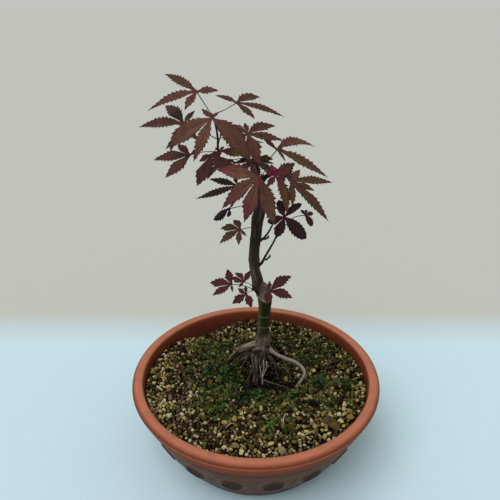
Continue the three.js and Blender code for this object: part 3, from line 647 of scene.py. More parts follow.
def bowl_paint(points, row, band_start, inside_start):
    """The outside's patina with painted shade low down and under the band, the clean rim and band with
    painted highlights and shade, and the inside in painted shade, for each point of the bowl.
    """
    radius = np.hypot(points[:, 0], points[:, 1])
    height = points[:, 2]
    turn = np.arctan2(points[:, 0], -points[:, 1])
    away = np.abs((turn[:, None] - ROSETTE_ANGLES + np.pi) % (2 * np.pi) - np.pi).min(axis=1) * radius
    from_rosette = np.hypot(away, (height - ROSETTE_HEIGHT) * 1.12)
    halo = bell(from_rosette - ROSETTE_RADIUS - 1.5, 2.6)
    stain = 0.5 + 0.5 * noise(np.column_stack([turn * 9, height / 9, radius / 30]), 4)
    # Painted shade: darker towards the foot, with a painted contact shadow along the bottom edge.
    foot_shade = smoothstep(height, 22, 0) * 0.6 + smoothstep(height, 5, 0.5) * 0.3
    skin = layered(
        PATINA,
        (PALE_PATINA, np.clip(0.75 * halo + 0.35 * stain, 0, 1)),
        (srgb(40, 28, 20), foot_shade),
        (srgb(104, 58, 38), 0.6 * smoothstep(height, 46, 58)),
        # Painted shadow under the band.
        (srgb(74, 38, 22), 0.8 * smoothstep(height, 58, 66)),
    )

    # Painted highlights and painted shade on the outside of the rim and band, by height.
    levels, tones = zip(*RIM_PAINTED_LIGHT_AND_SHADE)
    channels = srgb(*zip(*tones)).reshape(3, -1)
    rim = np.column_stack([np.interp(height, levels, channel) for channel in channels])
    rim = layered(
        rim,
        (LIP, (height > 84) * smoothstep(radius, 122, 120.5)),
        # The inner edge of the rim takes the inside's painted shade.
        (SHADED_INSIDE, (height > 81) * smoothstep(radius, 115.6, 113.8)),
    )
    # The inner wall in painted shade, darker further down.
    inner = blend(SHADED_INSIDE, srgb(74, 38, 25), smoothstep(height, 82, 64))
    paint = np.where((row < band_start)[:, None], skin, rim)
    return np.where((row >= inside_start)[:, None], inner, paint)


def drilled(obj):
    """Cuts the drain holes through the bowl's floor."""
    drain = Shape()
    for i in range(DRAIN_HOLES):
        turn = 2 * math.pi * i / DRAIN_HOLES
        x, y = DRAIN_CIRCLE_RADIUS * math.cos(turn), DRAIN_CIRCLE_RADIUS * math.sin(turn)
        drain.add(*tube([(x, y, -5, DRAIN_HOLE_RADIUS), (x, y, 12, DRAIN_HOLE_RADIUS)], 32, 2), PATINA)
    points, faces, _ = drain.made()
    cutter = mesh_object("drain_cutter", points, faces, {})
    cut = obj.modifiers.new("holes", "BOOLEAN")
    cut.operation = "DIFFERENCE"
    cut.solver = "EXACT"
    cut.object = cutter
    baked(obj)
    bpy.data.objects.remove(cutter)
    walls = obj.data.polygons
    walls.foreach_set("use_smooth", [True] * len(walls))


def make_bowl():
    foot = FOOT_INNER_RADIUS
    recess = [(r, FOOT_RECESS) for r in (0, 34, 50, 66)]
    outer = [(foot, FOOT_RECESS), (foot + 0.4, 1.4), (foot + 1.2, 0.3), (foot + 2, 0), (78.5, 0)]
    body = [(79.6, 0.25), (80.6, 1.1)] + [tuple(p) for p in body_curve if 1.5 < p[1] < 68.9]
    band = [(115.6, 69.2), (117.6, 69.5), (119.4, 70.6), (120.3, 73.5), (120.2, 77), (118.4, 79.2)]
    rim = [
        (118.8, 79.7), (121.6, 80), (124.3, 82), (125, 84), (123.6, 86.6), (119, 88), (115, 86.8),
        (113.7, 84.4),
    ]
    inside = [(113.4, 82), (113.2, 78), (112.9, 73)] + rounded(BOWL_INSIDE, 5)
    floor = [(r, FLOOR_TOP) for r in (66, 50, 34, 0)]
    profile = recess + outer + body
    band_start = len(profile) - 1
    profile += rounded(band, 5) + rounded(rim, 6)
    inside_start = len(profile) - 1
    profile += inside + floor
    points, faces = lathe(profile, BOWL_SIDES)
    last = len(profile) - 3
    row = np.append(np.repeat(np.arange(last + 1), BOWL_SIDES), [0, last])
    paint = bowl_paint(points, row, band_start, inside_start)
    obj = mesh_object("bowl_wall", points, faces, {"paint": paint})
    drilled(obj)
    return obj


def make_rosettes():
    """Round dotted bosses, curved with the wall that they stand on."""
    seed = np.arange(SEEDS)
    seed_radius = SEED_SPACING * np.sqrt(seed + 0.6)
    seed_turn = seed * math.radians(GOLDEN_ANGLE)
    seed_u, seed_v = seed_radius * np.cos(seed_turn), seed_radius * np.sin(seed_turn)
    rings = np.append(np.linspace(0.4, ROSETTE_RADIUS - 0.2, 25), ROSETTE_RADIUS)
    rho, theta = np.meshgrid(rings, round_turns(ROSETTE_SIDES), indexing="ij")
    u, v = rho * np.cos(theta), rho * np.sin(theta)
    near = np.hypot(u[..., None] - seed_u, v[..., None] - seed_v).min(axis=-1)
    dots = np.clip(1 - (near / SEED_RADIUS) ** 2, 0, 1) ** 0.8
    plate = ROSETTE_RELIEF * (1 - smoothstep(rho, ROSETTE_RADIUS - 1.1, ROSETTE_RADIUS))
    edge = 0.25 * bell(rho - 9.3, 0.45)
    relief = plate - 0.5 * (rho < 9.1) * (1 - smoothstep(rho, 8.5, 9.1)) + 0.5 * dots * (rho < 8.9) + edge
    relief[-1] = -1.2  # the last ring lies in the wall
    u, v, rho, dots, relief = (grid.ravel() for grid in (u, v, rho, dots, relief))
    dark = blend(DISC, srgb(30, 16, 9), (1 - dots) * (rho < 8.9))
    dark = blend(dark, PALE_PATINA, 0.5 * smoothstep(rho, 8.9, 10.2))
    dark = np.vstack([dark, dark[:1], dark[-1:]])
    height = ROSETTE_HEIGHT + v * WALL_STEEPNESS
    radius = wall_radius(height)
    lean = np.arctan(wall_radius(height + 0.5) - wall_radius(height - 0.5))
    out = radius + relief * np.cos(lean)
    z = height - relief * np.sin(lean)
    faces = closed_rings(len(rings), ROSETTE_SIDES, flipped=True)
    shape = Shape()
    for angle in ROSETTE_ANGLES:
        at = angle + u / radius
        points = np.column_stack([out * np.sin(at), -out * np.cos(at), z])
        ends = points[:ROSETTE_SIDES].mean(axis=0), points[-ROSETTE_SIDES:].mean(axis=0)
        shape.add(np.vstack([points, *ends]), faces, dark)
    return shape.mesh("bowl_rosettes")


# ---------------------------------------------------------------- gravel

TAN = srgb(155, 142, 92)
SAND = srgb(171, 154, 117)
OCHRE = srgb(128, 107, 56)
BROWN = srgb(86, 67, 44)
MAUVE = srgb(90, 72, 60)
OLIVE = srgb(82, 78, 36)
UMBER = srgb(44, 35, 23)
CREAM = srgb(206, 194, 158)
GREEN = srgb(44, 52, 15)
# How common each tone is among clean and among dusty grains.
GRAIN_TONES = np.array([TAN, SAND, OCHRE, BROWN, OLIVE, UMBER, CREAM, MAUVE])
CLEAN_SHARES = [0.27, 0.16, 0.17, 0.13, 0.1, 0.08, 0.03, 0.06]
DUSTY_SHARES = [0.12, 0.14, 0.06, 0.2, 0.05, 0.14, 0.02, 0.27]
# Patches of weeds: x, y, depth of green, reach along x, reach along y.
MOSS = [
    (-30, 22, 1.0, 36, 36), (-48, 55, 0.9, 30, 24), (-24, -12, 1.0, 38, 24), (10, -24, 0.85, 40, 18),
    (40, -12, 0.8, 20, 14), (66, 0, 0.8, 16, 14), (-42, -42, 0.6, 26, 20), (92, -8, 0.65, 14, 12),
    (20, 70, 0.55, 60, 22), (62, 48, 0.6, 38, 26), (14, -66, 0.55, 20, 16), (-66, 0, 0.3, 22, 30),
    (70, -30, 0.4, 34, 26),
]
# Spots of dark soil, darkened further as painted shade, under and in front of the roots: x, y, reach along x,
# reach along y.
SOIL_AND_SHADE_SPOTS = [(10, 14, 27, 17), (20, 1, 30, 15), (-4, 0, 14, 12)]
INNER_AT_TOP = 112.6  # the bowl's inner radius where the gravel ends
CELL = 6.0
TRIES = 30
TOP_GRAINS, TOP_CROWDING = 8200, 0.86
# UNDER_SHADE darkens the second layer of grains: painted shade in the gaps between the top grains.
UNDER_GRAINS, UNDER_CROWDING, UNDER_RADIUS, UNDER_SHADE = 3300, 0.82, 1.7, 0.2
UNDER_DEPTH = 2.2  # of the second layer of grains, and of the bed's top
LARGE_GRAIN = 1.95
STONE_FLATS = 11


def moss_share(x, y):
    """How green the gravel is at a place, 0 to 1."""
    total = np.max([sunk(patch, x, y) for patch in MOSS], axis=0)
    rough = 0.35 * ground_noise(x, y, 7, 21) + 0.25 * ground_noise(x, y, 2.6, 22)
    return np.clip(total * 1.25 + rough * (total > 0.05) - 0.12, 0, 1)


def soil_and_shade_share(x, y):
    """How much dark soil and painted shade show between and in front of the roots, 0 to 1."""
    shares = []
    for px, py, rx, ry in SOIL_AND_SHADE_SPOTS:
        shares.append(np.exp(-((((x - px) / rx) ** 2 + ((y - py) / ry) ** 2) ** 2)))
    return np.max(shares, axis=0)


def scattered(radii, seed, crowding):
    """Places for the stones and for round grains among them that don't lie in each other."""
    draw = np.random.default_rng(seed)
    taken = {}
    placed = []

    def put(x, y, r):
        taken.setdefault((int(x // CELL), int(y // CELL)), []).append((x, y, r))
        placed.append((x, y, r))

    for stone in STONES:
        put(*stone)
    for r in radii:
        for _ in range(TRIES):
            reach = (INNER_AT_TOP - r * 0.8) * math.sqrt(draw.random())
            turn = 2 * math.pi * draw.random()
            x, y = reach * math.cos(turn), reach * math.sin(turn)
            i, j = int(x // CELL), int(y // CELL)
            free = all(
                (x - ox) ** 2 + (y - oy) ** 2 > (crowding * (r + other)) ** 2
                for a in (i - 1, i, i + 1)
                for b in (j - 1, j, j + 1)
                for ox, oy, other in taken.get((a, b), ())
            )
            if free:
                put(x, y, r)
                break
    return np.array(placed)


def stone_forms(count, detail, seed):
    """Angular stones of about unit radius: each is a ball with flats broken off it."""
    draw = np.random.default_rng(seed)
    ball = bmesh.new()
    bmesh.ops.create_icosphere(ball, subdivisions=detail, radius=1)
    directions = np.array([v.co[:] for v in ball.verts])
    faces = np.array([[v.index for v in f.verts] for f in ball.faces])
    ball.free()
    forms = []
    for _ in range(count):
        flats = draw.normal(size=(STONE_FLATS, 3))
        flats /= np.linalg.norm(flats, axis=1)[:, None]
        depth = draw.uniform(0.62, 0.95, STONE_FLATS)
        facing = directions @ flats.T
        reach = np.where(facing > 0.05, depth / np.maximum(facing, 0.05), 9).min(axis=1)
        shape = directions * np.minimum(reach, 1.12)[:, None]
        forms.append(shape * draw.uniform(0.78, 1.18, 3) * np.array([1, 1, 0.82]))
    return forms, faces


def turned(count, draw):
    """Random turns, as matrices."""
    q = draw.normal(size=(count, 4))
    q /= np.linalg.norm(q, axis=1)[:, None]
    w, x, y, z = q.T
    return np.array([
        [1 - 2 * (y * y + z * z), 2 * (x * y - z * w), 2 * (x * z + y * w)],
        [2 * (x * y + z * w), 1 - 2 * (x * x + z * z), 2 * (y * z - x * w)],
        [2 * (x * z - y * w), 2 * (y * z + x * w), 1 - 2 * (x * x + y * y)],
    ]).transpose(2, 0, 1)


def grain_colours(x, y, draw):
    """A colour for each grain, by its place and by chance."""
    count = len(x)
    dusty = smoothstep(ground_noise(x, y, 26, 31) + 0.25 * (x < -55) * (y > -10), 0.0, 0.7)
    clean_pick = draw.choice(len(GRAIN_TONES), count, p=CLEAN_SHARES)
    dusty_pick = draw.choice(len(GRAIN_TONES), count, p=DUSTY_SHARES)
    colour = GRAIN_TONES[np.where(draw.random(count) < dusty, dusty_pick, clean_pick)]
    colour = colour * (0.06 + 1.65 * draw.random(count) ** 1.3)[:, None]
    colour = colour * (1 + 0.65 * smoothstep(-x, 45, 80) * smoothstep(-y, -30, 10))[:, None]
    colour = np.minimum(colour, srgb(188, 176, 142))
    green = GREEN * draw.uniform(0.2, 2.1, count)[:, None]
    colour = blend(colour, green, moss_share(x, y) * draw.uniform(0.3, 0.95, count))
    # Dark soil and painted shade under and in front of the roots.
    return blend(colour, srgb(11, 9, 7), 0.96 * soil_and_shade_share(x, y))


def make_grains(name, places, lift, forms, faces, seed, shade):
    """Loose grains on the ground, each a turned copy of one of the forms."""
    draw = np.random.default_rng(seed)
    x, y, size = places.T
    form = draw.integers(0, len(forms), len(x))
    turns = turned(len(x), draw)
    z = ground(x, y) + lift + draw.uniform(-0.5, 0.5, len(x)) + 0.15 * size
    # A whole layer's colour is multiplied by shade: for the grains under others, painted shade.
    colour = grain_colours(x, y, draw) * shade
    count = len(forms[0])
    points = np.empty((len(x), count, 3))
    for i in range(len(x)):
        body = forms[form[i]] * size[i]
        points[i] = body @ turns[i].T * (1, 1, 0.85) + (x[i], y[i], z[i])
    index = faces[None] + (np.arange(len(x)) * count)[:, None, None]
    paint = np.repeat(colour, count, axis=0)
    return mesh_object(
        name, points.reshape(-1, 3), index.reshape(-1, 3).tolist(), {"paint": paint}, smooth=False
    )


def make_bed():
    """The soil under the loose grains, as one closed body."""
    rings, sides = 60, 180
    turn = round_turns(sides)
    share, around = np.meshgrid((np.arange(1, rings + 1) / rings) ** 0.9, turn, indexing="ij")
    top = INNER_AT_TOP - 1.2
    x, y = (share * np.cos(around) * top).ravel(), (share * np.sin(around) * top).ravel()
    z = ground(x, y) - UNDER_DEPTH + 0.8 * ground_noise(x, y, 3, 41)
    radii, levels = zip(*reversed([(113.5, 84), *BOWL_INSIDE]))
    limit = np.interp(z, levels, radii) - 0.6
    squeeze = np.minimum(1, limit / np.maximum(np.hypot(x, y), 1e-6))
    points = [np.column_stack([x * squeeze, y * squeeze, z])]
    for r, h in ((107.6, 54), (88.2, 17), (73, 6.8)):
        points.append(np.column_stack([r * np.cos(turn), r * np.sin(turn), np.full(sides, h)]))
    points += [[0, 0, ground(0, 0) - UNDER_DEPTH], [0, 0, 6.8]]
    points = np.vstack(points)
    x, y = points[:, 0], points[:, 1]
    # The bed is near black: dark soil, darkened further as painted shade in the gaps between the grains.
    paint = blend(srgb(13, 10, 7), srgb(11, 13, 6), moss_share(x, y))
    paint = blend(paint, srgb(8, 7, 6), 0.8 * soil_and_shade_share(x, y))
    return mesh_object("gravel_bed", points, closed_rings(rings + 3, sides, flipped=True), {"paint": paint})


# ---------------------------------------------------------------- wood

GREY_ROOT = srgb(110, 97, 86)
# Pale root colour, also laid on the roots' upper sides as a painted highlight.
PALE_ROOT_AND_TOP_LIGHT = srgb(168, 154, 142)
DARK_BARK = srgb(44, 34, 25)
GREY_BARK = srgb(94, 82, 66)
ALGAE = srgb(44, 48, 18)
DEEP_GREEN = srgb(34, 34, 18)
# Olive, laid only on the trunk's left side: a painted highlight.
OLIVE_HIGHLIGHT = srgb(92, 90, 50)
CALLUS = srgb(182, 154, 142)
TWIG = srgb(40, 28, 25)
THICK = ["leader", "right_bough", "front_spur", "back_spur", "left_knob", "right_knob"]
VOXEL = 0.55
GROWTH_RINGS = (113, 127.7, 141.2)
NODES_OF_TWIGS = (206, 229, 251)
PIT = (0.6, 12.6, 171.5)
BUDS = [
    (11.2, 12, 231.6), (13, 15, 210.2), (26.8, -2.2, 299.4), (-37.2, -4.6, 347), (4, -9, 297.4),
]


def wood_samples():
    """Along every thick limb: its number and kind, place, radius, distance along and two directions."""
    limbs = [("trunk", TRUNK)] + [("root_" + k, v) for k, v in ROOTS.items()]
    limbs += [("branch_" + k, BRANCHES[k]) for k in THICK]
    parts = []
    for number, (kind, run) in enumerate(limbs):
        line = spline(run, 24)
        place, count = line[:, :3], len(line)
        _, across, beside = frames(place)
        along = np.append(0, np.cumsum(np.linalg.norm(np.diff(place, axis=0), axis=1)))
        parts.append((np.full(count, number), np.full(count, kind), place, line[:, 3], along, across, beside))
    return [np.concatenate(column) for column in zip(*parts)]


def nearest_samples(at, places, radii):
    """For each point, the sample of a limb whose surface lies nearest."""
    tree = kdtree.KDTree(len(places))
    for i, place in enumerate(places):
        tree.insert(place, i)
    tree.balance()
    nearest = [min(tree.find_n(p, 6), key=lambda found: abs(found[2] - radii[found[1]]))[1] for p in at]
    return np.array(nearest)


def grown_wood():
    """The thick limbs grown into one body: the object, and its points and normals."""
    rough = Shape()
    for run in [TRUNK, *ROOTS.values(), *(BRANCHES[k] for k in THICK)]:
        grown = [(x, y, z, r + 0.15) for x, y, z, r in run]
        rough.add(*tube(grown, 18, 10), DARK_BARK)
    points, faces, _ = rough.made()
    obj = mesh_object("wood", points, faces, {})
    remesh = obj.modifiers.new("remesh", "REMESH")
    remesh.mode = "VOXEL"
    remesh.voxel_size = VOXEL * MM
    soften = obj.modifiers.new("soften", "SMOOTH")
    soften.factor = 0.5
    soften.iterations = 5
    baked(obj)
    vertices = obj.data.vertices
    at, normal = np.empty(len(vertices) * 3), np.empty(len(vertices) * 3)
    vertices.foreach_get("co", at)
    vertices.foreach_get("normal", normal)
    return obj, at.reshape(-1, 3) / MM, normal.reshape(-1, 3)


def thin_wood(shape):
    """Adds the twigs, the hanging roots and the buds."""
    for key, run in BRANCHES.items():
        if key not in THICK:
            shape.add(*tube(run, 10, 8), TWIG)
    for key, run in FINE_ROOTS.items():
        wavy = []
        for i, (x, y, z, r) in enumerate(run):
            dx, dy = random.uniform(-0.7, 0.7, 2) * (0 < i < len(run) - 1)
            wavy.append((x + dx, y + dy, z, r))
        pale = key.startswith("white")
        shape.add(*tube(wavy, 8, 8), srgb(164, 153, 142) if pale else srgb(84, 71, 61))
    for x, y, z in BUDS:
        run = [(x, y, z - 1.4, 0.7), (x, y, z, 1.05), (x, y, z + 1.9, 0.25)]
        shape.add(*tube(run, 8, 4), srgb(84, 36, 32))


def make_wood():
    """All the wood: grown together, then ridged, ringed, scarred and painted."""
    obj, at, normal = grown_wood()
    samples = wood_samples()
    nearest = nearest_samples(at, samples[2], samples[3])
    number, kinds, centre, radius, along, across, beside = (column[nearest] for column in samples)
    off = at - centre
    turn = np.arctan2((off * beside).sum(axis=1), (off * across).sum(axis=1))
    is_trunk = kinds == "trunk"
    is_root = np.char.startswith(kinds, "root_")
    is_arch = kinds == "root_arching"
    z = at[:, 2]

    def grain(width, length, seed):
        """Streaks that run along the limbs."""
        return noise(
            np.column_stack([
                np.cos(turn) * radius / width + number * 7.3,
                np.sin(turn) * radius / width,
                along / length,
            ]),
            seed,
        )

    ridges = 0.65 * grain(1.5, 11, 51) + 0.35 * grain(0.8, 6, 52)
    flare = is_trunk * smoothstep(z, 123, 112)
    strength = 0.2 + 0.34 * np.maximum(flare, is_root & ~is_arch) + 0.14 * (is_trunk & (z > 172))
    strength = strength * np.clip(radius / 3, 0.35, 1)
    height = ridges * strength + 0.7 * is_trunk * smoothstep(z, 122, 110)
    tilt = 0.5 * np.sin(turn * 2)
    rings = sum(bell(z - level + tilt, 0.7) for level in GROWTH_RINGS)
    height = height + 0.14 * rings * is_trunk
    knobs = sum(bell(z - level, 1.6) for level in NODES_OF_TWIGS) * is_trunk
    height = height + 0.35 * knobs
    side = (at[:, 0] - centre[:, 0]) / np.maximum(radius, 1)
    lip_height = 163.4 - 1.9 * np.cos((side - 0.35) * 2.6) + 0.5 * grain(3, 8, 53)
    lip = bell(z - lip_height, 1.25) * is_trunk
    above_lip = smoothstep(z, lip_height, lip_height + 2) * smoothstep(z, 178, 170) * is_trunk
    height = height + 0.85 * lip + above_lip * 0.5 * grain(2.2, 3, 54)
    from_pit = np.linalg.norm(at - np.array(PIT), axis=1)
    pit = bell(from_pit, 2.4)
    height = height - 1.3 * pit + 0.5 * bell(from_pit - 3.6, 1.1) * is_trunk
    at = at + normal * height[:, None]

    tone = np.clip(0.5 + 0.9 * ridges, 0, 1)
    left = np.clip(-side, 0, 1)
    up = normal[:, 2]
    # The upper trunk: dark bark with grey streaks and an olive painted highlight on its left side.
    upper = layered(
        DARK_BARK,
        (GREY_BARK, smoothstep(grain(1.1, 22, 55), 0.15, 0.75) * 0.75),
        (OLIVE_HIGHLIGHT * 0.7, 0.25 * left),
    )
    upper = upper * (1.45 - 0.7 * smoothstep(z, 195, 250))[:, None]
    upper = blend(upper, srgb(46, 36, 32), smoothstep(z, 250, 285))
    # Below the scar: green algae with an olive painted highlight on the left side, and pale growth rings.
    green = layered(
        DEEP_GREEN,
        (ALGAE, smoothstep(z, 146, 116) * 0.8 + 0.2 * tone),
        (OLIVE_HIGHLIGHT, 0.75 * smoothstep(left, 0.25, 0.9)),
        (srgb(132, 126, 100), np.clip(rings, 0, 1) * (0.25 + 0.3 * tone)),
    )
    # Roots: a painted highlight on their upper sides and painted shade on their undersides.
    root = layered(
        srgb(36, 30, 26),
        (srgb(84, 74, 65), flare),
        (GREY_ROOT, smoothstep(tone, 0.35, 0.9)),
        (PALE_ROOT_AND_TOP_LIGHT, 0.75 * smoothstep(up, 0.2, 0.85) * (0.3 + 0.7 * tone)),
        (srgb(36, 28, 23), 0.85 * smoothstep(-up, -0.1, 0.6)),
        (srgb(58, 47, 40), 0.8 * (kinds == "root_lying")),
    )
    # The arching root: pale, with a painted highlight on top and painted shade underneath.
    arch = layered(
        GREY_ROOT,
        (PALE_ROOT_AND_TOP_LIGHT, np.clip(0.5 + up * 0.5, 0, 1)),
        (srgb(70, 56, 46), 0.65 * smoothstep(-up, 0.0, 0.8)),
    )
    scar = blend(srgb(104, 84, 74), srgb(146, 122, 112), tone)
    knob = np.char.endswith(kinds, "_knob")
    paint = layered(
        np.where(((z > lip_height + 1.5) | knob)[:, None], upper, green),
        (scar, above_lip * 0.85 * is_trunk),
        (scar, 0.55 * (kinds == "branch_right_knob")),
        (CALLUS, np.clip(lip * 1.1, 0, 1) * (0.45 + 0.55 * tone)),
        # Painted shade in the pit.
        (srgb(30, 22, 18), np.clip(pit * 1.3, 0, 1)),
        (root, np.maximum(smoothstep(z + 4 * ridges, 124, 116), is_root)),
    )
    paint = np.where(is_arch[:, None] & (along > 8)[:, None], arch, paint)
    branch = np.char.startswith(kinds, "branch_") & (z > 280)
    paint = np.where(branch[:, None], blend(DARK_BARK, TWIG, smoothstep(z, 285, 300)), paint)
    # Painted shade where the wood meets the gravel.
    low = smoothstep(z - ground(at[:, 0], at[:, 1]), 6, 0) * (z < 90)
    paint = blend(paint, srgb(34, 27, 21), 0.7 * low)

    finished = Shape()
    finished.add(at, [list(p.vertices) for p in obj.data.polygons], paint)
    thin_wood(finished)
    bpy.data.objects.remove(obj)
    return finished.mesh("tree_wood")


# ---------------------------------------------------------------- leaves

RED = srgb(82, 49, 39)
WARM = srgb(93, 59, 45)
WINE = srgb(74, 35, 34)
CRIMSON = srgb(84, 24, 40)
ROSE = srgb(96, 42, 46)
PURPLE = srgb(44, 20, 26)
BLACKISH = srgb(26, 13, 15)
OLIVE_LEAF = srgb(78, 54, 32)
OLIVE_DARK = srgb(50, 38, 24)
OLIVE_GREEN = srgb(94, 92, 26)
HEART = srgb(90, 14, 40)
SHOOT = srgb(66, 30, 30)
# Base colour and tip colour of each leaf that isn't red all over, and of single lobes by direction.
LEAF_PAINTS = {
    "leaf_crown_front": (WARM, RED), "leaf_left_upper": (RED, WINE), "leaf_left_lower": (RED * 0.8, WINE),
    "leaf_centre_left": (RED, WINE), "leaf_centre_green": (WINE, OLIVE_GREEN),
    "leaf_centre_dark": (PURPLE, WINE), "leaf_right_upper": (OLIVE_LEAF, RED),
    "leaf_olive": (OLIVE_LEAF, OLIVE_LEAF), "leaf_front_large": (WARM, ROSE), "leaf_crimson": (CRIMSON, RED),
    "leaf_right_lower": (OLIVE_LEAF, RED), "leaf_purple": (PURPLE, PURPLE),
    "leaf_purple_small": (PURPLE, WINE), "leaf_curled": (BLACKISH, BLACKISH),
    "leaf_trunk_left": (OLIVE_LEAF, OLIVE_LEAF), "leaf_trunk_right": (OLIVE_DARK, OLIVE_DARK),
    "leaf_left_shaded": (OLIVE_DARK, OLIVE_DARK), "leaf_back_left": (RED, WINE),
    "leaf_back_right": (RED, WARM), "leaf_back_centre": (WARM, RED), "leaf_shoot_far_left": (SHOOT, SHOOT),
    "leaf_shoot_high": (SHOOT, SHOOT), "leaf_shoot_low": (SHOOT, SHOOT), "leaf_shoot_right": (SHOOT, WINE),
}
LOBE_PAINTS = {
    ("leaf_right_upper", 30): (RED, WARM), ("leaf_right_lower", 33): (WARM, OLIVE_LEAF),
    ("leaf_crimson", 300): (RED, OLIVE_LEAF), ("leaf_crimson", 28): (WINE, OLIVE_DARK),
    ("leaf_front_large", 120): (WINE, WINE), ("leaf_front_large", 289): (RED, WARM),
    ("leaf_left_upper", 141): (OLIVE_DARK, RED),
}
# How purple-red the middle of a leaf is, where its lobes meet.
HEARTS = {
    "leaf_front_large": 0.25, "leaf_crimson": 0.85, "leaf_centre_left": 0.3, "leaf_centre_green": 0.5,
    "leaf_right_lower": 0.3, "leaf_purple": 0.3,
}
# Half a lobe's width by share of its length, for pointed and for blunt lobes.
LOBE_SHAPE = [
    (0, 0.3), (0.1, 0.42), (0.2, 0.62), (0.3, 0.83), (0.4, 0.97), (0.48, 1.0), (0.58, 0.93), (0.68, 0.76),
    (0.78, 0.52), (0.86, 0.31), (0.92, 0.17), (0.97, 0.07), (1, 0.02),
]
BLUNT_SHAPE = [
    (0, 0.3), (0.1, 0.42), (0.2, 0.6), (0.35, 0.84), (0.5, 1.0), (0.62, 1.0), (0.74, 0.9), (0.84, 0.72),
    (0.92, 0.48), (0.97, 0.26), (1, 0.02),
]
# Places from a lobe's midrib to its margin, and how light each is: lighter across the middle of the blade as
# a painted highlight, darker at the margin.
ACROSS = np.array([0, 0.07, 0.22, 0.45, 0.72, 1.0])
ACROSS_TONES = (0.94, 1.0, 1.08, 1.06, 0.96, 0.72)
BASE_ROWS = (0, 0.34, 0.67, 1.0)
BASE_REACH = 0.085
TOOTH_SPACING = 4.8
TEETH_START, TEETH_END = 0.16, 0.9
WELD = 0.02
# The leaves that aren't in slot leaf_red.
LEAF_SLOTS = {
    "leaf_crimson": ["leaf_crimson"],
    "leaf_purple": ["leaf_purple", "leaf_curled", "leaf_purple_small", "leaf_centre_dark"],
    "leaf_olive": ["leaf_centre_green", "leaf_left_shaded", "leaf_trunk_left", "leaf_olive"],
}
BLUNT = ("leaf_purple", "leaf_curled", "leaf_purple_small")


def half_profile(s, blunt):
    shares, widths = zip(*(BLUNT_SHAPE if blunt else LOBE_SHAPE))
    return np.interp(s, shares, widths)


def leaning(lobe, distance):
    """The direction of a lobe's midrib at a distance from the hub."""
    return lobe[0] + lobe[2] * min(1, distance / lobe[1])


def margin_rows(length, blunt, draw):
    """Rows of a lobe: share of length at the margin, height of the tooth, is it a tooth's vein, size."""
    teeth = int(np.clip(round(length / TOOTH_SPACING), 3, 9))
    step = (TEETH_END - TEETH_START) / teeth
    height = 1.3 if blunt else 2.2
    rows = []
    for k in range(teeth):
        s = TEETH_START + step * k
        size = draw.uniform(0.7, 1.15) * (1.0 if k % 2 else 0.75)
        rows.append((s + 0.12 * step, -0.5, 0.0, 1))
        rows.append((s + 0.5 * step, 0.4 * height, 0.0, size))
        rows.append((s + 0.6 * step, 0.2 * height, 0.0, size))
        rows.append((s + 1.0 * step, height, 1.0, size))
    return rows + [(s, 0.0, 0.0, 1) for s in (0.925, 0.95, 0.975, 1.0)]


def notches(lobes):
    """The notch after each lobe: how far from the hub it lies, and its direction."""
    found = []
    for lobe, following in zip(lobes, lobes[1:] + lobes[:1]):
        gap = ((following[0] - lobe[0] + 360) % 360) or 360
        reach = SINUS * min(lobe[1], following[1]) if gap < 80 else 1.2
        found.append((reach, math.radians(lobe[0] + gap / 2)))
    return found


def margin_width(lobe, other, side, row, widest, blunt):
    """From the midrib to the margin at a row: its teeth, and room for the lobe beside it."""
    s, tooth, _, size = row
    along = s * lobe[1]
    apart = (side * (leaning(other, along) - leaning(lobe, along))) % 360
    room = LOBE_CLEARANCE * along * math.tan(math.radians(apart / 2)) if apart < 100 else 1e9
    profile = half_profile(s, blunt)
    jag = tooth * size * (0.25 + 0.75 * profile) * min(1, widest / 4.5) * (s < 0.91)
    return min(widest * profile * 1.04 + jag, room)


def base_row(f, notch, lobe):
    """A row near the hub, from a lobe's midrib to the line between hub and notch."""
    direction, length, bend, _ = lobe
    reach, middle = notch
    mid = f * BASE_REACH
    turn = math.radians(direction + bend * mid)
    mx, my = mid * length * math.cos(turn), mid * length * math.sin(turn)
    ex, ey = f * reach * math.cos(middle), f * reach * math.sin(middle)
    row = []
    for v in ACROSS:
        x, y = mx + (ex - mx) * v, my + (ey - my) * v
        row.append((x, y, KEEL * abs(-x * math.sin(turn) + y * math.cos(turn))))
    return row


